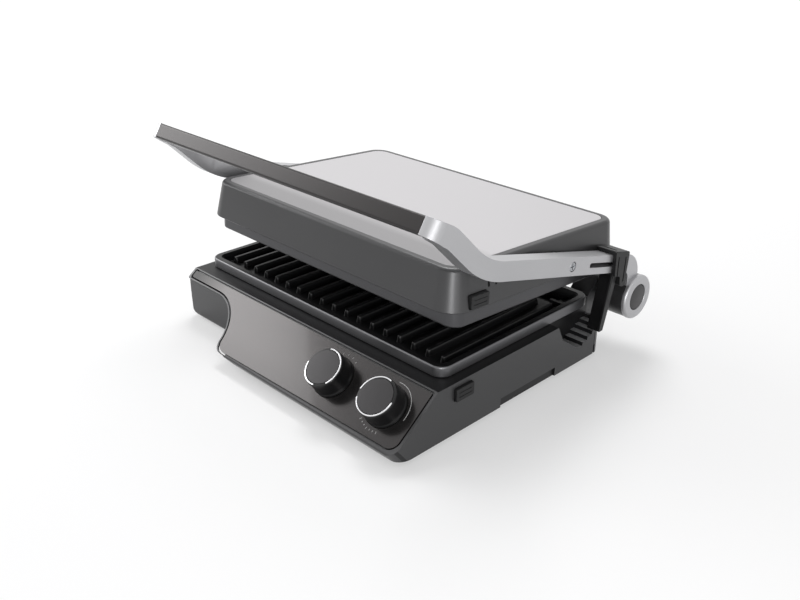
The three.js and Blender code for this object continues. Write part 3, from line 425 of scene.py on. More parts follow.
def s_edge(offset, steps=20):
    """The S down the nose's left side: an arc below the strip, then a foot that flares to the left."""
    radius = big_radius - offset
    centre = Vector((strip_end, strip_width + big_radius))
    last = math.radians(-10)
    points = []
    for step in range(steps + 1):
        angle = -math.pi / 2 + (last + math.pi / 2) * step / steps
        points.append(centre + radius * Vector((math.cos(angle), math.sin(angle))))
    bend = Vector((strip_end + radius, foot_line + offset))
    return points + swept(points[-1], bend, Vector((toe, foot_line + offset)), steps)


def panel_outline(offset):
    """The panel's outline on the slope, moved outward by the offset."""
    right = panel_right + offset
    left = panel_left - offset
    top = seam - offset
    corners = outline(
        (right, foot_line + offset, panel_radius + offset),
        (right, top, panel_small_radius),
        (left, top, panel_small_radius),
        (left, strip_width + offset, panel_strip_radius),
        (strip_end, strip_width + offset, 0),
    )
    return corners[:-1] + s_edge(offset)


flare_steps = 8
flare_bend = (5, 4)
flare_reach = 10


def nose_front(offset, right, floor, top, steps=20):
    """Everything right of the S, seen from the front in x and z."""
    edge = s_edge(rim_width + offset, steps)[: 2 * steps + 1]
    flank = [Vector((x, slope_top[1] - s * slope_sin)) for x, s in edge]
    bend = Vector((flank[-1].x + flare_bend[0], floor + flare_bend[1]))
    foot = swept(flank[-1], bend, Vector((toe + flare_reach, floor)), flare_steps)
    return [Vector((right, floor)), Vector((right, top)), Vector((strip_end, top))] + flank + foot


nose_radii = {"brow": 1.2, "lip": 2, "chin": 4}


def nose_side(face, lip, floor, top, rear):
    """The nose from the side, in y and z, with its face and lip moved inward."""
    at_top = (slope_top[1] - top - face * slope_cos) / slope_sin
    lip_down = slope_length - lip
    chin_out = (floor - (slope_top[1] - lip_down * slope_sin)) / slope_cos
    rounded = 0 if face else 1
    return outline(
        (rear, top, 0),
        (*down_slope(0, at_top, -face)[1:], rounded * nose_radii["brow"]),
        (*down_slope(0, lip_down, -face)[1:], rounded * nose_radii["lip"]),
        (*down_slope(0, lip_down, chin_out)[1:], rounded * nose_radii["chin"]),
        (rear, floor, 0),
    )


nose_corner_radius = 11


def nose_corner(inset):
    """The slope seen square on, with its lower right corner rounded, moved inward."""
    edge = half_width - inset
    foot = slope_length - inset
    corner = outline(
        (-beyond, -beyond, 0),
        (edge, -beyond, 0),
        (edge, foot, nose_corner_radius - inset),
        (-beyond, foot, 0),
    )
    return prism(corner, -beyond, beyond, down_slope)


nose_reach = down_slope(0, slope_length, 0)[1] - past
strip_floor = slope_top[1] - (strip_width + rim_width) * slope_sin
strip_low = down_slope(0, strip_width + rim_width, 0)[1]
strip_plan_radius = 9
nose_rear = front_face + wall
nose = common(
    prism(nose_front(0, half_width, skirt, deck), nose_reach, nose_rear, rearward),
    prism(nose_side(0, 0, skirt, deck, nose_rear + past), -half_width - 1, half_width + 1, sideways),
    nose_corner(0),
)
strip_plan = outline(
    (-half_width, strip_low - gap, strip_plan_radius),
    (strip_end + rim_width, strip_low - gap, 0),
    (strip_end + rim_width, nose_rear, 0),
    (-half_width, nose_rear, 0),
)
strip = common(
    prism(strip_plan, strip_floor, deck, upward),
    prism(nose_side(0, 0, skirt, deck, nose_rear + past), -half_width - 1, half_width + 1, sideways),
)


def housing_plan(inset, front):
    """The housing from above, moved inward, with its two rear corners rounded."""
    half, rear, radius = half_width - inset, rear_face - inset, rear_radius - inset
    return outline((-half, front, 0), (half, front, 0), (half, rear, radius), (-half, rear, radius))


housing = prism(housing_plan(0, front_face), skirt, deck, upward, "base_housing_shell")
join(housing, nose, strip)
shoulder_radius = 6.5
strip_shoulder = outline(
    (-half_width, -beyond, 0), (beyond, -beyond, 0), (beyond, 0, 0), (-half_width, 0, shoulder_radius)
)
common(
    housing,
    prism(strip_shoulder, -beyond, beyond, lambda x, n, s: down_slope(x, s, n)),
    prism([point + Vector((0, deck)) for point in strip_shoulder], -beyond, beyond, rearward),
)
ease(housing, radius=1.6, steps=4)
inner = half_width - wall
rack_inner = 157
rack_front = 147
rack_block_low = 10.5
rack_block_wall = 4
cavity = prism(housing_plan(wall, nose_rear), skirt - past, deck - wall, upward)
rack_block = brick(
    rack_inner - wall, half_width + past, rack_front - rack_block_wall, rear_face, rack_block_low, deck
)
cut(cavity, rack_block)
face_wall = 5.5
hollow_side = nose_side(face_wall, wall, skirt - past, deck - wall, nose_rear + past)
hollow = common(
    prism(nose_front(-wall, inner, skirt - past, deck), nose_reach, nose_rear + past, rearward),
    prism(hollow_side, -half_width, half_width, sideways),
    nose_corner(wall),
)
opening_half, opening_front, opening_rear, opening_radius = 152, 6, 204, 10
opening_plan = box_outline(-opening_half, opening_half, opening_front, opening_rear, opening_radius)
opening = prism(opening_plan, deck - 2 * wall, deck + past, upward)
tray_left, tray_right, tray_low, tray_high = -167.5, -88, 8, 30
tray_play = 0.5
tray_window = brick(
    tray_left - tray_play,
    tray_right + tray_play,
    front_face - past,
    nose_rear + past,
    tray_low - tray_play,
    tray_high + tray_play,
)
notch_front, notch_rear, notch_top, notch_depth = 67, 146, 13.5, 2
notch = brick(half_width - notch_depth, half_width + past, notch_front, notch_rear, 0, notch_top)
recess = prism(panel_outline(seam), -panel_thick - gap, 2 * past, down_slope)
lower_key_sides = (5, 27, 37.3, 49.5)
key_play = 0.4
key_radius = 1.5


def key_window(front, rear, low, high):
    """The outline of a release key's window, with play all round the key."""
    return box_outline(front - key_play, rear + key_play, low - key_play, high + key_play, key_radius)


key_hole = prism(key_window(*lower_key_sides), inner - past, half_width + past, sideways)
cut(housing, cavity, hollow, opening, tray_window, recess, key_hole, mirrored(notch), notch)
knob_x = {"temperature": 76, "timer": 142}
knob_down = 29.2


def on_knob(x):
    """Lays a lathe body on the control slope at x."""
    return lambda a, b, h: down_slope(x + a, knob_down - b, h)


def along_hinge(y, z):
    """Lays a lathe body along X, with its middle at y and z."""
    return lambda a, b, h: (h, y + a, z + b)


def spindle_holes(radius=5, behind=11):
    return [turned([(radius, -behind), (radius, past)], on_knob(x)) for x in knob_x.values()]


cut(housing, *spindle_holes())
rack_bend = (155.5, 38.6)
rack_foot = (181.3, 20.6)
first_riser = 188.2
riser_run = 0.8
tread_pitch = 7.5
tread_rise = 10.4 / 3


def rack_profile(foot, risers):
    """The pocket's side: a slope down to the lowest tread, then treads that climb to the rear."""
    points = [(rack_front, deck + past), (rack_front, deck), rack_bend, foot]
    for at in range(risers):
        y = first_riser + tread_pitch * at
        points += [(y, foot[1] + tread_rise * at), (y + riser_run, foot[1] + tread_rise * (at + 1))]
    points += [(rear_face + past, points[-1][1]), (rear_face + past, deck + past)]
    return [Vector(point) for point in reversed(points)]


inner_risers, outer_risers = 5, 3
outer_wall = half_width - wall
overlap = 0.01
seam_front, seam_rear, seam_top, seam_depth = 208.4, 209.1, 32, 0.6
slot_front, slot_rear, slot_top, slot_depth = 208.2, 210.4, 14, 1.6
cut(
    housing,
    prism(rack_profile(rack_foot, inner_risers), rack_inner, outer_wall, sideways),
    prism(rack_profile(rack_foot, outer_risers), outer_wall - overlap, half_width + past, sideways),
    brick(half_width - seam_depth, half_width + past, seam_front, seam_rear, slot_top, seam_top),
    brick(half_width - slot_depth, half_width + past, slot_front, slot_rear, skirt - past, slot_top),
)
cut_radius = 0.45
ease(housing, cut_radius, steps=2)
shine(housing)
fit(housing, "base", "housing", graphite, "base_housing")
# Painted shade: a black finish for the shade on the deck round the plate, the notch floors and the pocket's
# inner wall and risers.
painted_shade_black = finish("painted_shade_black", tone(20, 20, 21), 0.4, grain=0.2, grain_size=0.0005, gleam=0.3)
# Painted highlight: a pale grey finish for the light caught by the rack's treads and its outer stepped edge.
painted_highlight_grey = finish("painted_highlight_grey", tone(172, 172, 174), 0.35, metal=0.5)
housing.data.materials.append(painted_shade_black)
housing.data.materials.append(painted_highlight_grey)
level_face = 0.97
sloped_face = 0.3
steep_face = -0.9
# Picks the faces that take the painted shade (slot 1) and the painted highlight (slot 2).
for face in housing.data.polygons:
    x, y, z = face.center / mm
    y -= plate_front / mm
    up = face.normal.z
    in_rack = x > rack_inner - 0.5 and y > rack_front + wall and rack_foot[1] - 1 < z < deck - 1
    on_tread = y > rack_foot[0] - past and z < rack_bend[1] and up > sloped_face
    outer_edge = x > half_width - seam_depth and 0.2 < face.normal.x < 0.9
    notch_floor = notch_depth - 1.5 < half_width - abs(x) < notch_depth + 0.2 and z < notch_top + past
    if up > level_face and z > deck - cut_radius or notch_floor:
        face.material_index = 1
    elif in_rack and (on_tread or outer_edge):
        face.material_index = 2
    elif in_rack and (x < rack_inner + 1 or face.normal.y < steep_face):
        face.material_index = 1

# Control panel: a dark brushed plate under clear gloss lacquer, bedded in the nose with a fine seam.
# Two clearance holes pass the knob spindles. Painted reflection: the lacquer's colour darkens towards its
# left end and its foot.
along_panel = (1, 60, 60)
lacquer = finish(
    "lacquered_panel", tone(64, 62, 62), 0.2, 0.85, 0.05, 0.0012, brushed=along_panel, coat=0.25, wear=0.03
)
# Painted reflection: darker towards the panel's left end, then towards its foot.
painted_shade_along(lacquer, "X", -0.162, -0.11, 0.06)
painted_shade_along(lacquer, "Z", 0.01, 0.03, 0.8)
panel = prism(panel_outline(0), -panel_thick, 0, down_slope, "control_panel")
cut(panel, *spindle_holes())
ease(panel, radius=0.35, steps=2)
shine(panel)
fit(panel, "base", "fascia", lacquer, "fascia_panel")

# Dial marks: a pale pad print on the panel, plain ticks beside each knob and a thin arc round the right one.
# The print lies on the lacquer and is no thicker than paint.


def band(inner, outer, low, high, start, end, way, name="band", steps=40):
    """Part of a flat hoop, from one angle to another in degrees, anticlockwise from the right."""
    rings = []
    for step in range(steps + 1):
        angle = math.radians(start + (end - start) * step / steps)
        c, s = math.cos(angle), math.sin(angle)
        section = ((inner, low), (outer, low), (outer, high), (inner, high))
        rings.append([way(r * c, r * s, h) for r, h in section])
    return skin(name, rings)


def gathered(name, bodies):
    """Several separate bodies as one piece."""
    build = bmesh.new()
    for body in bodies:
        build.from_mesh(body.data)
        bpy.data.objects.remove(body)
    mesh = bpy.data.meshes.new(name)
    build.to_mesh(mesh)
    build.free()
    made = bpy.data.objects.new(name, mesh)
    scene.collection.objects.link(made)
    return made


print_grey = finish("pale_print", tone(176, 176, 176), 0.5)
print_low, print_high = 0.01, 0.06
dial_radius = 23
tick_width = 1.1
long_tick, short_tick = 2.2, 1.3
timer_way = on_knob(knob_x["timer"])
marks = [band(dial_radius, dial_radius + 0.5, print_low, print_high, -8, 96, timer_way)]


def tick(start, end, angle, way):
    """A printed tick from one radius to another."""
    marks.append(band(start, end, print_low, print_high, angle, angle + tick_width, way, steps=2))


first_tick, tick_turn = -128, 9
for at in range(7):
    length = long_tick if at % 3 == 0 else short_tick
    tick(dial_radius, dial_radius + length, first_tick + tick_turn * at, timer_way)
heat_start, heat_end = 22.6, 24
first_heat_tick, heat_turn = 60, 15
for at in range(5):
    tick(heat_start, heat_end, first_heat_tick + heat_turn * at, on_knob(knob_x["temperature"]))
print_piece = gathered("dial_print", marks)
fit(print_piece, "base", "fascia", print_grey)

# Bottom cover, feet, cord gland and the hidden works: pressed, moulded and bent stock parts.
# They keep the CAD's solids, apart from the feet, which are turned finer here.
black_moulding = finish("black_moulding", tone(20, 20, 21), 0.45, grain=0.25, grain_size=0.0005, gleam=0.28)
soft_rubber = finish("foot_rubber", tone(26, 26, 26), 0.8, grain=0.4, grain_size=0.0007)
zinc = finish("zinc_plate", tone(165, 167, 170), 0.3, metal=0.9, grain=0.1)
pan_sheet = finish("pan_sheet", tone(176, 178, 180), 0.38, metal=0.8, grain=0.2, grain_size=0.003)
sheath = finish("element_sheath", tone(62, 60, 60), 0.5, metal=0.6, grain=0.3)
dress(black_moulding, "base_bottom_cover", "cord_gland", "pivot_boss_left", "pivot_boss_right")
dress(pan_sheet, "lower_reflector_pan", "upper_reflector_pan")
dress(sheath, "lower_heating_element", "upper_heating_element")
dress(zinc, "lower_button_spring", "upper_button_spring", "temperature_switch", "timer_switch")
dress(zinc, "hinge_shaft_left", "hinge_shaft_right", "hinge_core_left", "hinge_core_right")
dress(zinc, "hinge_button_spring_left", "hinge_button_spring_right")
dress(zinc, "temperature_knob_spindle", "timer_knob_spindle")
foot_places = {
    "foot_front_left": (-48, -36),
    "foot_front_right": (152, -36),
    "foot_rear_left": (-152, 200),
    "foot_rear_right": (152, 200),
}
pad_radius, pad_top = 9, 4.7
stem_radius, stem_top = 3.2, 7.7
pad_profile = [(pad_radius - 1, 0), (pad_radius - 0.3, 0.3), (pad_radius, 1), (pad_radius, pad_top)]
pad_profile += [(stem_radius, pad_top), (stem_radius, stem_top)]
for node, (x, y) in foot_places.items():

    def stand(a, b, h, x=x, y=y):
        return (x + a, y + b, h)

    pad = turned(pad_profile, stand, node + "_pad", facets=40)
    shine(pad)
    fit(pad, "base", "rubber", soft_rubber, node)

# Grill plates: die-cast aluminium with a ribbed well, machined bright round the rim's outside,
# then coated black inside. They lift off two springy keys; the lower one drains through a spout.
coating = finish(
    "nonstick_coating", tone(20, 20, 21), 0.34, grain=0.35, grain_size=0.0009, wear=0.15, gleam=0.35
)
rim_metal = finish("rim_metal", tone(104, 104, 106), 0.36, metal=0.85, grain=0.08, grain_size=0.0006)
rim_graphite = finish("rim_graphite", tone(72, 72, 74), 0.34, metal=0.7, grain=0.08, grain_size=0.0006)
rib_pitch = 17.7
rib_count = 18
rib_front = 18
well_depth = 8.1
rim_radius = 12
well_radius = 14
belly_half, belly_inset, belly_radius = 147, 11, 8
rib_section = ((3.1, -0.3, 0), (2.6, 3.4, 0.8), (2.1, 5.5, 1.3), (1.5, 6.1, 1.8), (0.8, 6.2, 2.4))
rib_end_share = 0.98


def rim_ring(lay, width, depth, radius, height, inset):
    """A ring of a plate's rim or well, moved inward from its outline."""
    points = box_outline(-width + inset, width - inset, inset, depth - inset, max(radius - inset, 1))
    return [lay(point[0], point[1], height) for point in points]


def rib(x, front, rear, floor, lay):
    """A rib with a rounded crown and rounded ends."""
    rings = []
    for width, height, short in rib_section:
        points = box_outline(x - width, x + width, front + short, rear - short, width * rib_end_share, 4)
        rings.append([lay(point[0], point[1], floor + height) for point in points])
    return skin("rib", rings)


def ribbed_plate(name, depth, width, belly, rim, rib_rear, lay):
    """A rim round a ribbed well, face up, its rim's underside at height 0."""
    profile = ((0.6, 0), (0, 0.8), (0, rim - 1.8), (0.4, rim - 0.8), (1.1, rim - 0.2), (2.2, rim))
    body = skin(name, [rim_ring(lay, width, depth, rim_radius, height, inset) for inset, height in profile])
    floor = rim - well_depth
    well_profile = ((6.2, rim + 1), (6.6, rim - 0.4), (7.4, rim - 2), (9.5, floor + 1.2), (11, floor))
    well_rings = [rim_ring(lay, width, depth, well_radius, height, inset) for inset, height in well_profile]
    belly_plan = box_outline(-belly_half, belly_half, belly_inset, depth - belly_inset, belly_radius)
    underside = prism(belly_plan, -belly, floor / 2, lay)
    ribs = []
    for at in range(rib_count):
        ribs.append(rib((at - (rib_count - 1) / 2) * rib_pitch, rib_front, rib_rear, floor, lay))
    join(body, underside)
    cut(body, skin("well", well_rings))
    return join(body, gathered("ribs", ribs))


rim_side = 1.3
rim_corner = 10.8


def rim_outside(body, material, middle_y, half_x, half_y):
    """Gives the rim's upright outside its own finish."""
    body.data.materials.append(material)
    for face in body.data.polygons:
        x = abs(face.center.x) / mm
        y = abs((face.center.y - plate_front) / mm - middle_y)
        outside = x > half_x - rim_side or y > half_y - rim_side
        if not outside:
            reach_x, reach_y = x - (half_x - rim_radius), y - (half_y - rim_radius)
            outside = reach_x > 0 and reach_y > 0 and math.hypot(reach_x, reach_y) > rim_corner
        if outside:
            face.material_index = 1


lower_seat = deck + gap
lower_half = 168
lower_depth = 210
lower_belly = 4.9
lower_rim = 10.1
lower_rib_rear = 172


def on_deck(u, v, t):
    return (u, v, t + lower_seat)


lower_plate = ribbed_plate(
    "lower_plate_casting", lower_depth, lower_half, lower_belly, lower_rim, lower_rib_rear, on_deck
)
wall_half, wall_front, wall_rear, wall_low, wall_high = 161, 175.4, 178.8, 1.7, 8.2
cross_wall = prism(box_outline(-wall_half, wall_half, wall_front, wall_rear), wall_low, wall_high, on_deck)
drain_half, drain_front, drain_rear, drain_radius, drain_floor = 145, 180.8, 197, 2, -1.2
mouth_in = 127.3
mouths = []
for side in ((-drain_half, -mouth_in), (mouth_in, drain_half)):
    mouths.append(prism(box_outline(*side, lower_rib_rear, wall_rear + gap), 2, lower_rim + 0.9, on_deck))
drain_plan = box_outline(-drain_half, drain_half, drain_front, drain_rear, drain_radius)
drain = prism(drain_plan, drain_floor, lower_rim + 1.9, on_deck)
spout_x, spout_y, spout_low = -120, 186, 32.5
spout_radius, spout_bore = 6, 4.2


def down_spout(a, b, h):
    return on_deck(a + spout_x, b + spout_y, h)


pipe = turned([(spout_radius, spout_low - lower_seat), (spout_radius, -gap)], down_spout)
bore = turned([(spout_bore, spout_low - 2.5 - lower_seat), (spout_bore, lower_rim + 0.9)], down_spout)
join(lower_plate, cross_wall)
cut(lower_plate, gathered("mouths", mouths), drain)
join(lower_plate, pipe)
cut(lower_plate, bore)
cast_radius = 0.4
ease(lower_plate, cast_radius, steps=2)
shine(lower_plate)
fit(lower_plate, "lower_plate", "grill_coating", coating, "lower_grill_plate")
rim_outside(lower_plate, rim_metal, lower_depth / 2, lower_half, lower_depth / 2)

pivot_y = 140.1
pivot_z = 122.4
lean = math.radians(3.4)


def in_lid(u, v, t):
    """A point of the lid: u across, v to the rear of the pivot, t above it."""
    y = pivot_y + v * math.cos(lean) + t * math.sin(lean)
    return (u, y, pivot_z - v * math.sin(lean) + t * math.cos(lean))


upper_half = 167
upper_depth = 212.8
upper_belly = 3.6
upper_rim = 15.4
upper_rib_rear = 194.8
upper_rear = 89.6
upper_seat = -18.9
upper_middle = -17.8


def under_lid(u, v, t):
    return in_lid(u, upper_rear - v, upper_seat - t)


upper_plate = ribbed_plate(
    "upper_plate_casting", upper_depth, upper_half, upper_belly, upper_rim, upper_rib_rear, under_lid
)
ease(upper_plate, cast_radius, steps=2)
shine(upper_plate)
fit(upper_plate, "upper_plate", "grill_coating", coating, "upper_grill_plate")
rim_outside(upper_plate, rim_graphite, pivot_y + upper_middle, upper_half, upper_depth / 2)

# Release keys: one in each right wall, moulded in black with a ribbed thumb face.
# Each slides through its window against a spring and frees the plate beside it.
flange = 1.9
flange_thick = 1.5
key_proud = 3
groove_half, groove_end, groove_depth = 0.35, 3, 0.4


def release_key(name, front, rear, low, high, face, hidden, way):
    """A key in a side wall whose outside is at face, hidden inside it by the given depth."""
    key = prism(box_outline(front, rear, low, high, key_radius), face - hidden, face + key_proud, way, name)
    ease(key, radius=0.6)
    flange_outline = box_outline(front - flange, rear + flange, low - flange, high + flange, key_radius)
    join(key, prism(flange_outline, face - hidden - flange_thick, face - hidden, way))
    grooves = []
    for share in (1 / 3, 2 / 3):
        height = low + (high - low) * share
        groove_low, groove_high = height - groove_half, height + groove_half
        section = box_outline(front + groove_end, rear - groove_end, groove_low, groove_high)
        grooves.append(prism(section, face + key_proud - groove_depth, face + key_proud + 1, way))
    return shine(cut(key, gathered("grooves", grooves)))


def in_lid_side(u, v, t):
    return in_lid(t, u, v)


lower_key = release_key("lower_key", *lower_key_sides, half_width, wall + gap, sideways)
fit(lower_key, "lower_release", "black_plastic", black_moulding, "lower_release_button")
upper_key_sides = (-113, -91, -16.4, -4.4)
lid_side = 171.5
upper_key = release_key("upper_key", *upper_key_sides, lid_side, 2 * wall, in_lid_side)
fit(upper_key, "upper_release", "black_plastic", black_moulding, "upper_release_button")

# Drip tray: a drawn sheet pan on the back of a moulded front, which completes the nose's left end.
# The front follows the S with an even gap, and pulls the pan out over the counter.
pan_front, pan_rear, pan_radius, sheet_thick = -10.7, 195, 3.2, 1.6
pan_outside = box_outline(tray_left, tray_right, pan_front, pan_rear, pan_radius)
pan_inside = box_outline(
    tray_left + sheet_thick,
    tray_right - sheet_thick,
    pan_front + sheet_thick,
    pan_rear - sheet_thick,
    pan_radius,
)
tray = prism(pan_outside, tray_low, tray_high, upward, "drip_pan")
cut(tray, prism(pan_inside, tray_low + sheet_thick, tray_high + past, upward))
ease(tray, radius=0.5, steps=2)
shine(tray)
fit(tray, "drip_tray", "grill_coating", coating, "drip_tray")
front_left = -177.7
front_right = strip_end + big_radius
front_bottom = 1.5
front_top = strip_floor - 1
front_rear = front_face - gap
front_high = strip_low + 0.8
front_low = front_high + 3.2
front_corner_radius, front_foot_radius, front_plan_radius = 14, 5, 8.7
front_gap = 1
seen_outline = outline(
    (front_left, front_bottom, front_corner_radius),
    (front_right, front_bottom, 0),
    (front_right, front_top, 0),
    (front_left, front_top, 0),
)
leaning_outline = outline(
    (front_rear, front_bottom, 0),
    (front_rear, front_top, 0),
    (front_high, front_top, 0),
    (front_low, front_bottom, front_foot_radius),
)
plan_outline = outline(
    (front_left, 5, 0),
    (front_left, front_high, front_plan_radius),
    (front_right, front_high, 0),
    (front_right, 5, 0),
)
tray_front = prism(seen_outline, front_high, front_rear, rearward, "tray_front")
leaning = prism(leaning_outline, -half_width, front_right, sideways)
rounded_side = prism(plan_outline, 0, front_top + 1, upward)
flank = prism(nose_front(front_gap, half_width, 0, deck), front_high - past, front_rear + past, rearward)
common(tray_front, leaning, rounded_side)
cut(tray_front, flank)
ease(tray_front, radius=0.7, limit=40)
shine(tray_front)
fit(tray_front, "drip_tray", "housing", graphite, "drip_tray_front")

# Knobs: black moulded drums with a flared skirt, a dark spun cap and a polished inlay round it.
# Painted reflection: the inlay is only two bright arcs where the ring shines, and its gaps show the black
# drum for its dark reflection.
gloss_black = finish("knob_moulding", tone(12, 12, 13), 0.34, grain=0.12, grain_size=0.0005, gleam=0.3)
spun_cap = finish("spun_cap", tone(56, 55, 56), 0.3, metal=0.7, grain=0.15, grain_size=0.0009)
polish = finish("polished_inlay", tone(228, 228, 230), 0.12, metal=0.95)
# Painted reflection: the arcs lie where the ring shines; the black between them stands for its dark
# reflection.
lit_arc_ends = {"temperature": (-40, 105, -175, -80), "timer": (-155, 5, 75, 182)}
skirt_profile = [(20, 0.6), (20, 1.9), (19.6, 2.5), (19.15, 3.4), (19, 4.6)]
crown_profile = [(18.75, 16.6), (18.65, 17.5), (18.5, 18.1), (18.2, 18.4)]
well_profile = [(16.6, 18.4), (16.6, 16.9), (3.3, 16.9)]
drum_profile = [(3.3, 0.6)] + skirt_profile + crown_profile + well_profile
cap_profile = [(16.1, 17.2), (16.3, 17.4), (16.3, 18.7), (16.1, 18.95), (15.7, 19), (8, 19.05), (0.5, 19.1)]
inlay_in, inlay_out, inlay_low, inlay_high = 16.9, 18.1, 18.2, 19.1
for name, x in knob_x.items():
    way = on_knob(x)
    drum = turned(drum_profile, way, name + "_knob_drum", facets=96, bored=True)
    shine(drum, sharp=50)
    fit(drum, name + "_knob", "black_plastic", gloss_black, name + "_knob_body")
    ends = lit_arc_ends[name]
    arcs = []
    for start, end in (ends[:2], ends[2:]):
        arcs.append(band(inlay_in, inlay_out, inlay_low, inlay_high, start, end, way))
    inlay = gathered(name + "_knob_inlay", arcs)
    ease(inlay, radius=0.25, steps=2)
    shine(inlay)
    fit(inlay, name + "_knob", "silver_casting", polish, name + "_knob_ring")
    cap = turned(cap_profile, way, name + "_knob_face", facets=96)
    shine(cap)
    fit(cap, name + "_knob", "dark_metal", spun_cap, name + "_knob_cap")

# Hinges: cast brackets on the rear wall carry fixed shafts; a painted drum closes each arm's foot.
# A light ring caps the drum, with a spun release button sprung in its middle.
hinge_y = 250.3
hinge_z = 58
silver = finish("satin_silver", tone(176, 176, 178), 0.4, metal=0.8, grain=0.1, grain_size=0.0005)
on_hinge = along_hinge(hinge_y, hinge_z)
drum_outside = [(12.3, 166), (20.6, 166), (21.5, 166.4), (22, 167.4), (22, 191.2)]
drum_bore = [(13.1, 191.2), (13.1, 186.2), (12.3, 186.2)]
ring_outside = [(13.1, 191.5), (22.4, 191.5), (22.4, 193.6), (22.1, 194.8), (21.3, 195.7), (20.2, 196)]
ring_bore = [(14.2, 196), (13.5, 195.6), (13.1, 195)]
button = [(12.8, 189.5), (12.8, 194.6), (12.4, 195.1), (11.8, 195.3), (6, 195.5), (0.4, 195.6)]
wall_plane = rear_face + gap
lug_radius, lug_bore = 16, 8.3
bracket_in, bracket_out = 133, 155
bracket_low, bracket_high, bracket_corner_radius = 16, 50, 2
web = outline(
    (wall_plane, bracket_low, bracket_corner_radius),
    (hinge_y, hinge_z - lug_radius, 0),
    (hinge_y, hinge_z, 0),
    (hinge_y - lug_radius * slope_cos, hinge_z + lug_radius * slope_sin, 0),
    (wall_plane, bracket_high, bracket_corner_radius),
)
bracket = prism(web, bracket_in, bracket_out, sideways, "hinge_bracket_casting_right")
join(bracket, turned([(lug_radius, bracket_in), (lug_radius, bracket_out)], on_hinge))
cut(bracket, turned([(lug_bore, bracket_in - past), (lug_bore, bracket_out + past)], on_hinge))
ease(bracket, radius=1)
hinge_drum = turned(drum_outside + drum_bore, on_hinge, "hinge_drum_shell_right", 96, bored=True)
hinge_ring = turned(ring_outside + ring_bore, on_hinge, "hinge_ring_right", 96, bored=True)
hinge_key = turned(button, on_hinge, "hinge_key_right", 96)


def fit_pair(piece, body, slot, material, node):
    """Fits a piece of the right side, and its mirror image on the left."""
    shine(piece)
    twin = mirrored(piece, piece.name.replace("right", "left"))
    fit(piece, body, slot, material, node + "_right")
    fit(twin, body.replace("right", "left"), slot, material, node + "_left")


fit_pair(bracket, "base", "painted_casting", graphite, "hinge_bracket")
fit_pair(hinge_drum, "hinge_core", "painted_casting", graphite, "hinge_drum")
fit_pair(hinge_ring, "hinge_core", "silver_casting", silver, "hinge_cap")
fit_pair(hinge_key, "hinge_release_right", "dark_metal", spun_cap, "hinge_release_button")

# Arms: cast and satin silvered, one straight run from hinge to shoulder, then up to the handle.
# Each is bored for its pivot screw and slotted for the height prop.
arm_in = 175
arm_out = 191.5
arm_thick = 17.3
hand_thick = 15
slope = math.radians(14.6)


def line_height(y):
    return pivot_z - (y - pivot_y) * math.tan(slope)


shoulder_y = 22.2
wrist_length, wrist_angle = 55.4, math.radians(45)
hand_length, hand_angle = 24.3, math.radians(32.5)
shoulder = Vector((shoulder_y, line_height(shoulder_y)))
wrist = shoulder + wrist_length * Vector((-math.cos(wrist_angle), math.sin(wrist_angle)))
hand = wrist + hand_length * Vector((-math.cos(hand_angle), math.sin(hand_angle)))
wrist_radius, shoulder_bend, foot_radius = 50, 85, 18
foot_y = 242
foot_lean = 2
line = outline(
    (*hand, 0),
    (*wrist, wrist_radius),
    (*shoulder, shoulder_bend),
    (foot_y, line_height(foot_y), foot_radius),
    (foot_y + foot_lean, hinge_z, 0),
    steps=24,
)
line.insert(1, line[0].lerp(line[1], 0.5))
thicknesses = [hand_thick, (hand_thick + arm_thick) / 2] + [arm_thick] * (len(line) - 2)
upper = []
lower = []
for at, point in enumerate(line):
    along = (line[min(at + 1, len(line) - 1)] - line[max(at - 1, 0)]).normalized()
    out = Vector((-along.y, along.x)) * thicknesses[at] / 2
    upper.append(point + out)
    lower.append(point - out)
hand_out = Vector((0, -math.cos(hand_angle), math.sin(hand_angle)))
hand_down = Vector((0, -math.sin(hand_angle), -math.cos(hand_angle)))


def across_hand(u, v, t):
    """Across the handle's face: u to the right, v out of the face, t down along it."""
    return Vector((u, *hand)) + v * hand_out + t * hand_down


def hand_section(u, v, t):
    return across_hand(t, u, v)


arm = prism(lower + upper[::-1], arm_in, arm_out, sideways, "arm_casting_right")
hand_round, hand_radius = 12.5, 12.2
hand_half = 30
corner_outline = outline(
    (arm_out - hand_round, 0, 0),
    (arm_out, 0, hand_radius),
    (arm_out, -hand_round, 0),
    (arm_out + past, -hand_round, 0),
    (arm_out + past, past, 0),
    (arm_out - hand_round, past, 0),
)
corner = prism(corner_outline, -hand_half, hand_half, across_hand)
bar_thick = 10.6
bar_end = 179
ledge_outline = box_outline(arm_in - past, bar_end, -bar_thick - gap, past)
cut(arm, corner, prism(ledge_outline, -hand_half, hand_half, across_hand))
ease(arm, radius=1.6, steps=4, limit=36)
middle = Vector((0, *hand)) - hand_out * bar_thick / 2
on_pivot = along_hinge(pivot_y, pivot_z)
slot_half, slot_start, slot_stop = 2.25, 166.5, 219
slot_points = []
for y, first in ((slot_start + slot_half, math.pi / 2), (slot_stop - slot_half, -math.pi / 2)):
    end = Vector((y, line_height(y)))
    for at in range(33):
        angle = first + math.pi * at / 32 - slope
        slot_points.append(slot_half * Vector((math.cos(angle), math.sin(angle))) + end)
head_hole, head_depth, screw_hole = 4.7, 2.9, 2.8
drum_hole = 22.3
tenon_hole, tenon_depth = 3.3, 5
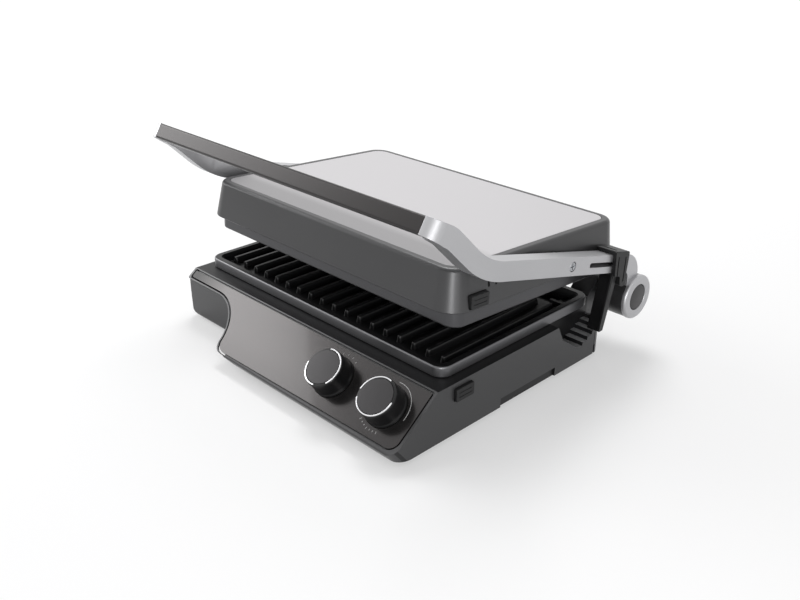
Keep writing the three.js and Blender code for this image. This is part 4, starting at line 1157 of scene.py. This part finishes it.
cut(
    arm,
    prism(slot_points, arm_in - past, arm_out + past, sideways),
    turned([(head_hole, arm_out - head_depth), (head_hole, arm_out + past)], on_pivot),
    turned([(screw_hole, arm_in - past), (screw_hole, arm_out)], on_pivot, facets=24),
    turned([(drum_hole, arm_in - past), (drum_hole, arm_out + past)], on_hinge),
    turned(
        [(tenon_hole, bar_end - past), (tenon_hole, bar_end + tenon_depth)],
        along_hinge(middle.y, middle.z),
        facets=32,
    ),
)
ease(arm, radius=0.35, steps=2, limit=40)
fit_pair(arm, "arms", "silver_casting", silver, "arm")
screw_profile = [(2.5, 160), (2.5, 188.9), (4.4, 188.9), (4.4, 190.6), (3.9, 191.15)]
screw = turned(screw_profile, on_pivot, "pivot_screw_steel_right", facets=48)
cross_long, cross_half, cross_floor, cross_top = 3, 0.5, 189.9, 193


def across_screw(u, v, t):
    return (t, pivot_y + u, pivot_z + v)


cross = []
for half_u, half_v in ((cross_long, cross_half), (cross_half, cross_long)):
    bar_outline = box_outline(-half_u, half_u, -half_v, half_v)
    cross.append(prism(bar_outline, cross_floor, cross_top, across_screw))
cut(screw, *cross)
fit_pair(screw, "arms", "zinc_steel", zinc, "pivot_screw")

# Handle bar: an extruded aluminium bar in dark satin lacquer, with softly rounded long edges.
# Its ends lie in ledges at the tops of the arms, and a round tenon at each end holds it there.
bar_brushing = (1, 40, 40)
bar_lacquer = finish(
    "bar_lacquer", tone(50, 48, 48), 0.3, metal=0.7, grain=0.06, grain_size=0.001, brushed=bar_brushing
)
half_hand = hand_thick / 2
bar_half, bar_radius = 178.7, 2.4
tenon_radius, tenon_end = 3, 183.7
bar_section = box_outline(-bar_thick, 0, -half_hand, half_hand, bar_radius)
bar = prism(bar_section, -bar_half, bar_half, hand_section, "handle_bar_extrusion")
ease(bar, radius=0.5, limit=60)
tenon_profile = [(tenon_radius, -tenon_end), (tenon_radius, tenon_end)]
join(bar, turned(tenon_profile, along_hinge(middle.y, middle.z), facets=32))
shine(bar)
fit(bar, "arms", "handle_metal", bar_lacquer, "handle_bar")

# Height prop: a black glass-filled stirrup that slides along the right arm on a pin.
# Its foot stands on a tread of the rack, so the lid keeps the height that it was set to.
rise = (arm_thick / 2 + gap) / math.cos(slope)
bridge = rise + 4.4
bridge_under = -rise - 2.4
lug_low = -rise - 12
prop_in, prop_out = 173.8, 195.4


def beside(y, off):
    """A place beside the right arm: off above its middle line at y."""
    return (y, line_height(y) + off)


face = outline(
    (*beside(203.5, bridge), 1.5),
    (*beside(204, bridge_under), 1),
    (*beside(213, bridge_under), 2),
    (*beside(214.5, lug_low), 3),
    (*beside(222.2, lug_low - 2), 3),
    (*beside(226.2, bridge), 3),
)
prop = prism(face, prop_in, prop_out, sideways, "height_prop_moulding")
passage_front, passage_rear = 199, 231
passage = outline(
    (*beside(passage_front, rise), 0),
    (*beside(passage_front, -rise), 0),
    (*beside(passage_rear, -rise), 0),
    (*beside(passage_rear, rise), 0),
)
cut(prop, prism(passage, prop_in - 2.8, arm_out + gap, sideways))
leg_low, leg_top = 31.6, line_height(213.5) - rise - 1
leg_foot = box_outline(170.5, 184.5, 205.5, 211)
leg_head = ((prop_in, 213.5), (193, 205), (193, 212), (prop_in, 219))
leg_rings = [[(x, y, leg_low) for x, y in leg_foot], [(x, y, leg_top) for x, y in leg_head]]
rib_low, rib_top = leg_low + 1, line_height(204) + bridge - 1
rib_foot = box_outline(182.9, 184.9, 204.4, 208)
rib_head = box_outline(193.8, 195.8, 202.9, 207)
rib_rings = [[(x, y, rib_low) for x, y in rib_foot], [(x, y, rib_top) for x, y in rib_head]]
join(prop, skin("leg", leg_rings), skin("edge_rib", rib_rings))
ease(prop, radius=0.5, steps=2)
pin_y, pin_hole = 214.5, 2.2
prop_groove_depth = 0.5
pin_way = along_hinge(pin_y, line_height(pin_y))
prop_tools = [turned([(pin_hole, arm_in), (pin_hole, prop_out - 0.6)], pin_way, facets=24)]
for high_front, low_front, low_rear, high_rear in ((207, 207, 209, 209), (219, 218, 220, 221)):
    groove = outline(
        (*beside(high_front, rise - 1), 1),
        (*beside(low_front, lug_low + 4), 1),
        (*beside(low_rear, lug_low + 4), 1),
        (*beside(high_rear, rise - 1), 1),
    )
    prop_tools.append(prism(groove, prop_out - prop_groove_depth, prop_out + 1.6, sideways))
slot_mid = line_height(209)
slot_plan = box_outline(179, 191, 208, 211)
prop_tools.append(prism(slot_plan, slot_mid + rise + 1.6, slot_mid + bridge + past, upward))
cut(prop, *prop_tools)
shine(prop)
fit(prop, "height_prop", "black_plastic", black_moulding, "height_prop")
dress(zinc, "prop_pin")

# Lid housing: a moulded shell in the base's graphite paint, hung on its two pivots.
# Its side walls lean in a little; vents and the key's window are in the right wall.
shell_bottom, lid_top = -18.6, 17.7
shell_low = (173, -133.6, 107, 24)
shell_high = (166, -127.3, 104.5, 18)
hem_height = 0.5
brow_radius, brow_steps = 3.4, 6


def shell_ring(height, inset):
    """A ring round the lid's shell, between its low and its high outline."""
    share = (height - shell_bottom) / (lid_top - shell_bottom)
    width, front, rear, radius = [low + share * (high - low) for low, high in zip(shell_low, shell_high)]
    width -= inset
    points = box_outline(-width, width, front + inset, rear - inset, max(radius - inset, 2), 14)
    return [in_lid(point[0], point[1], height) for point in points]


brow_start = lid_top - brow_radius
edge_rings = [shell_ring(shell_bottom, hem_height), shell_ring(shell_bottom + hem_height, 0)]
edge_rings.append(shell_ring(brow_start, 0))
for at in range(1, brow_steps + 1):
    angle = math.pi / 2 * at / brow_steps
    brow_inset = brow_radius * (1 - math.cos(angle))
    edge_rings.append(shell_ring(brow_start + brow_radius * math.sin(angle), brow_inset))
lid_shell = skin("lid_shell", edge_rings)
top_wall = 4.4
bed_half, bed_front, bed_rear, bed_radius, bed_depth = 158.3, -120.3, 97.8, 12, 1.4
wall_in, wall_out = 160, 175
bed_plan = box_outline(-bed_half, bed_half, bed_front, bed_rear, bed_radius)
bed = prism(bed_plan, lid_top - bed_depth, lid_top + past, in_lid)
cut(
    lid_shell,
    skin("inside", [shell_ring(shell_bottom - past, wall), shell_ring(lid_top - top_wall, wall)]),
    bed,
    prism(key_window(*upper_key_sides), wall_in, wall_out, in_lid_side),
)
vent_front, vent_pitch, vent_width, vent_low, vent_high, vent_radius = -88.5, 9.3, 2.5, -3.2, 6, 0.8
vents = []
for at in range(5):
    start = vent_front + vent_pitch * at
    vent = box_outline(start, start + vent_width, vent_low, vent_high, vent_radius)
    vents.append(prism(vent, wall_in, wall_out, in_lid_side))
cut(lid_shell, gathered("vents", vents))
boss_profile = [(7.3, wall_in), (7.3, wall_out)]
boss_hole = turned(boss_profile, in_lid_side, facets=40)
cut(lid_shell, mirrored(boss_hole), boss_hole)
ease(lid_shell, cast_radius, steps=2, limit=40)
shine(lid_shell)
fit(lid_shell, "lid", "housing", graphite, "lid_housing")

# Top panel: a plain brushed stainless sheet, laid into the lid's frame and bonded there.
# Its brush lines run across the lid. Painted shadow: its colour darkens towards the front edge, under the
# handle bar.
across_lid = (1, 50, 50)
brushed_top = finish(
    "brushed_stainless", tone(188, 186, 188), 0.38, 0.45, 0.05, 0.0012, brushed=across_lid, wear=0.03
)
# Painted shadow of the handle bar across the sheet's front strip.
painted_shade_along(brushed_top, "Y", -0.062, -0.03, 0.5)
sheet_low, sheet_high = 16.6, 17.6
sheet_plan = box_outline(-bed_half + gap, bed_half - gap, bed_front + gap, bed_rear - gap, bed_radius)
top_sheet = prism(sheet_plan, sheet_low, sheet_high, in_lid, "top_sheet")
ease(top_sheet, gap)
shine(top_sheet)
fit(top_sheet, "lid", "brushed_steel", brushed_top, "lid_top_panel")
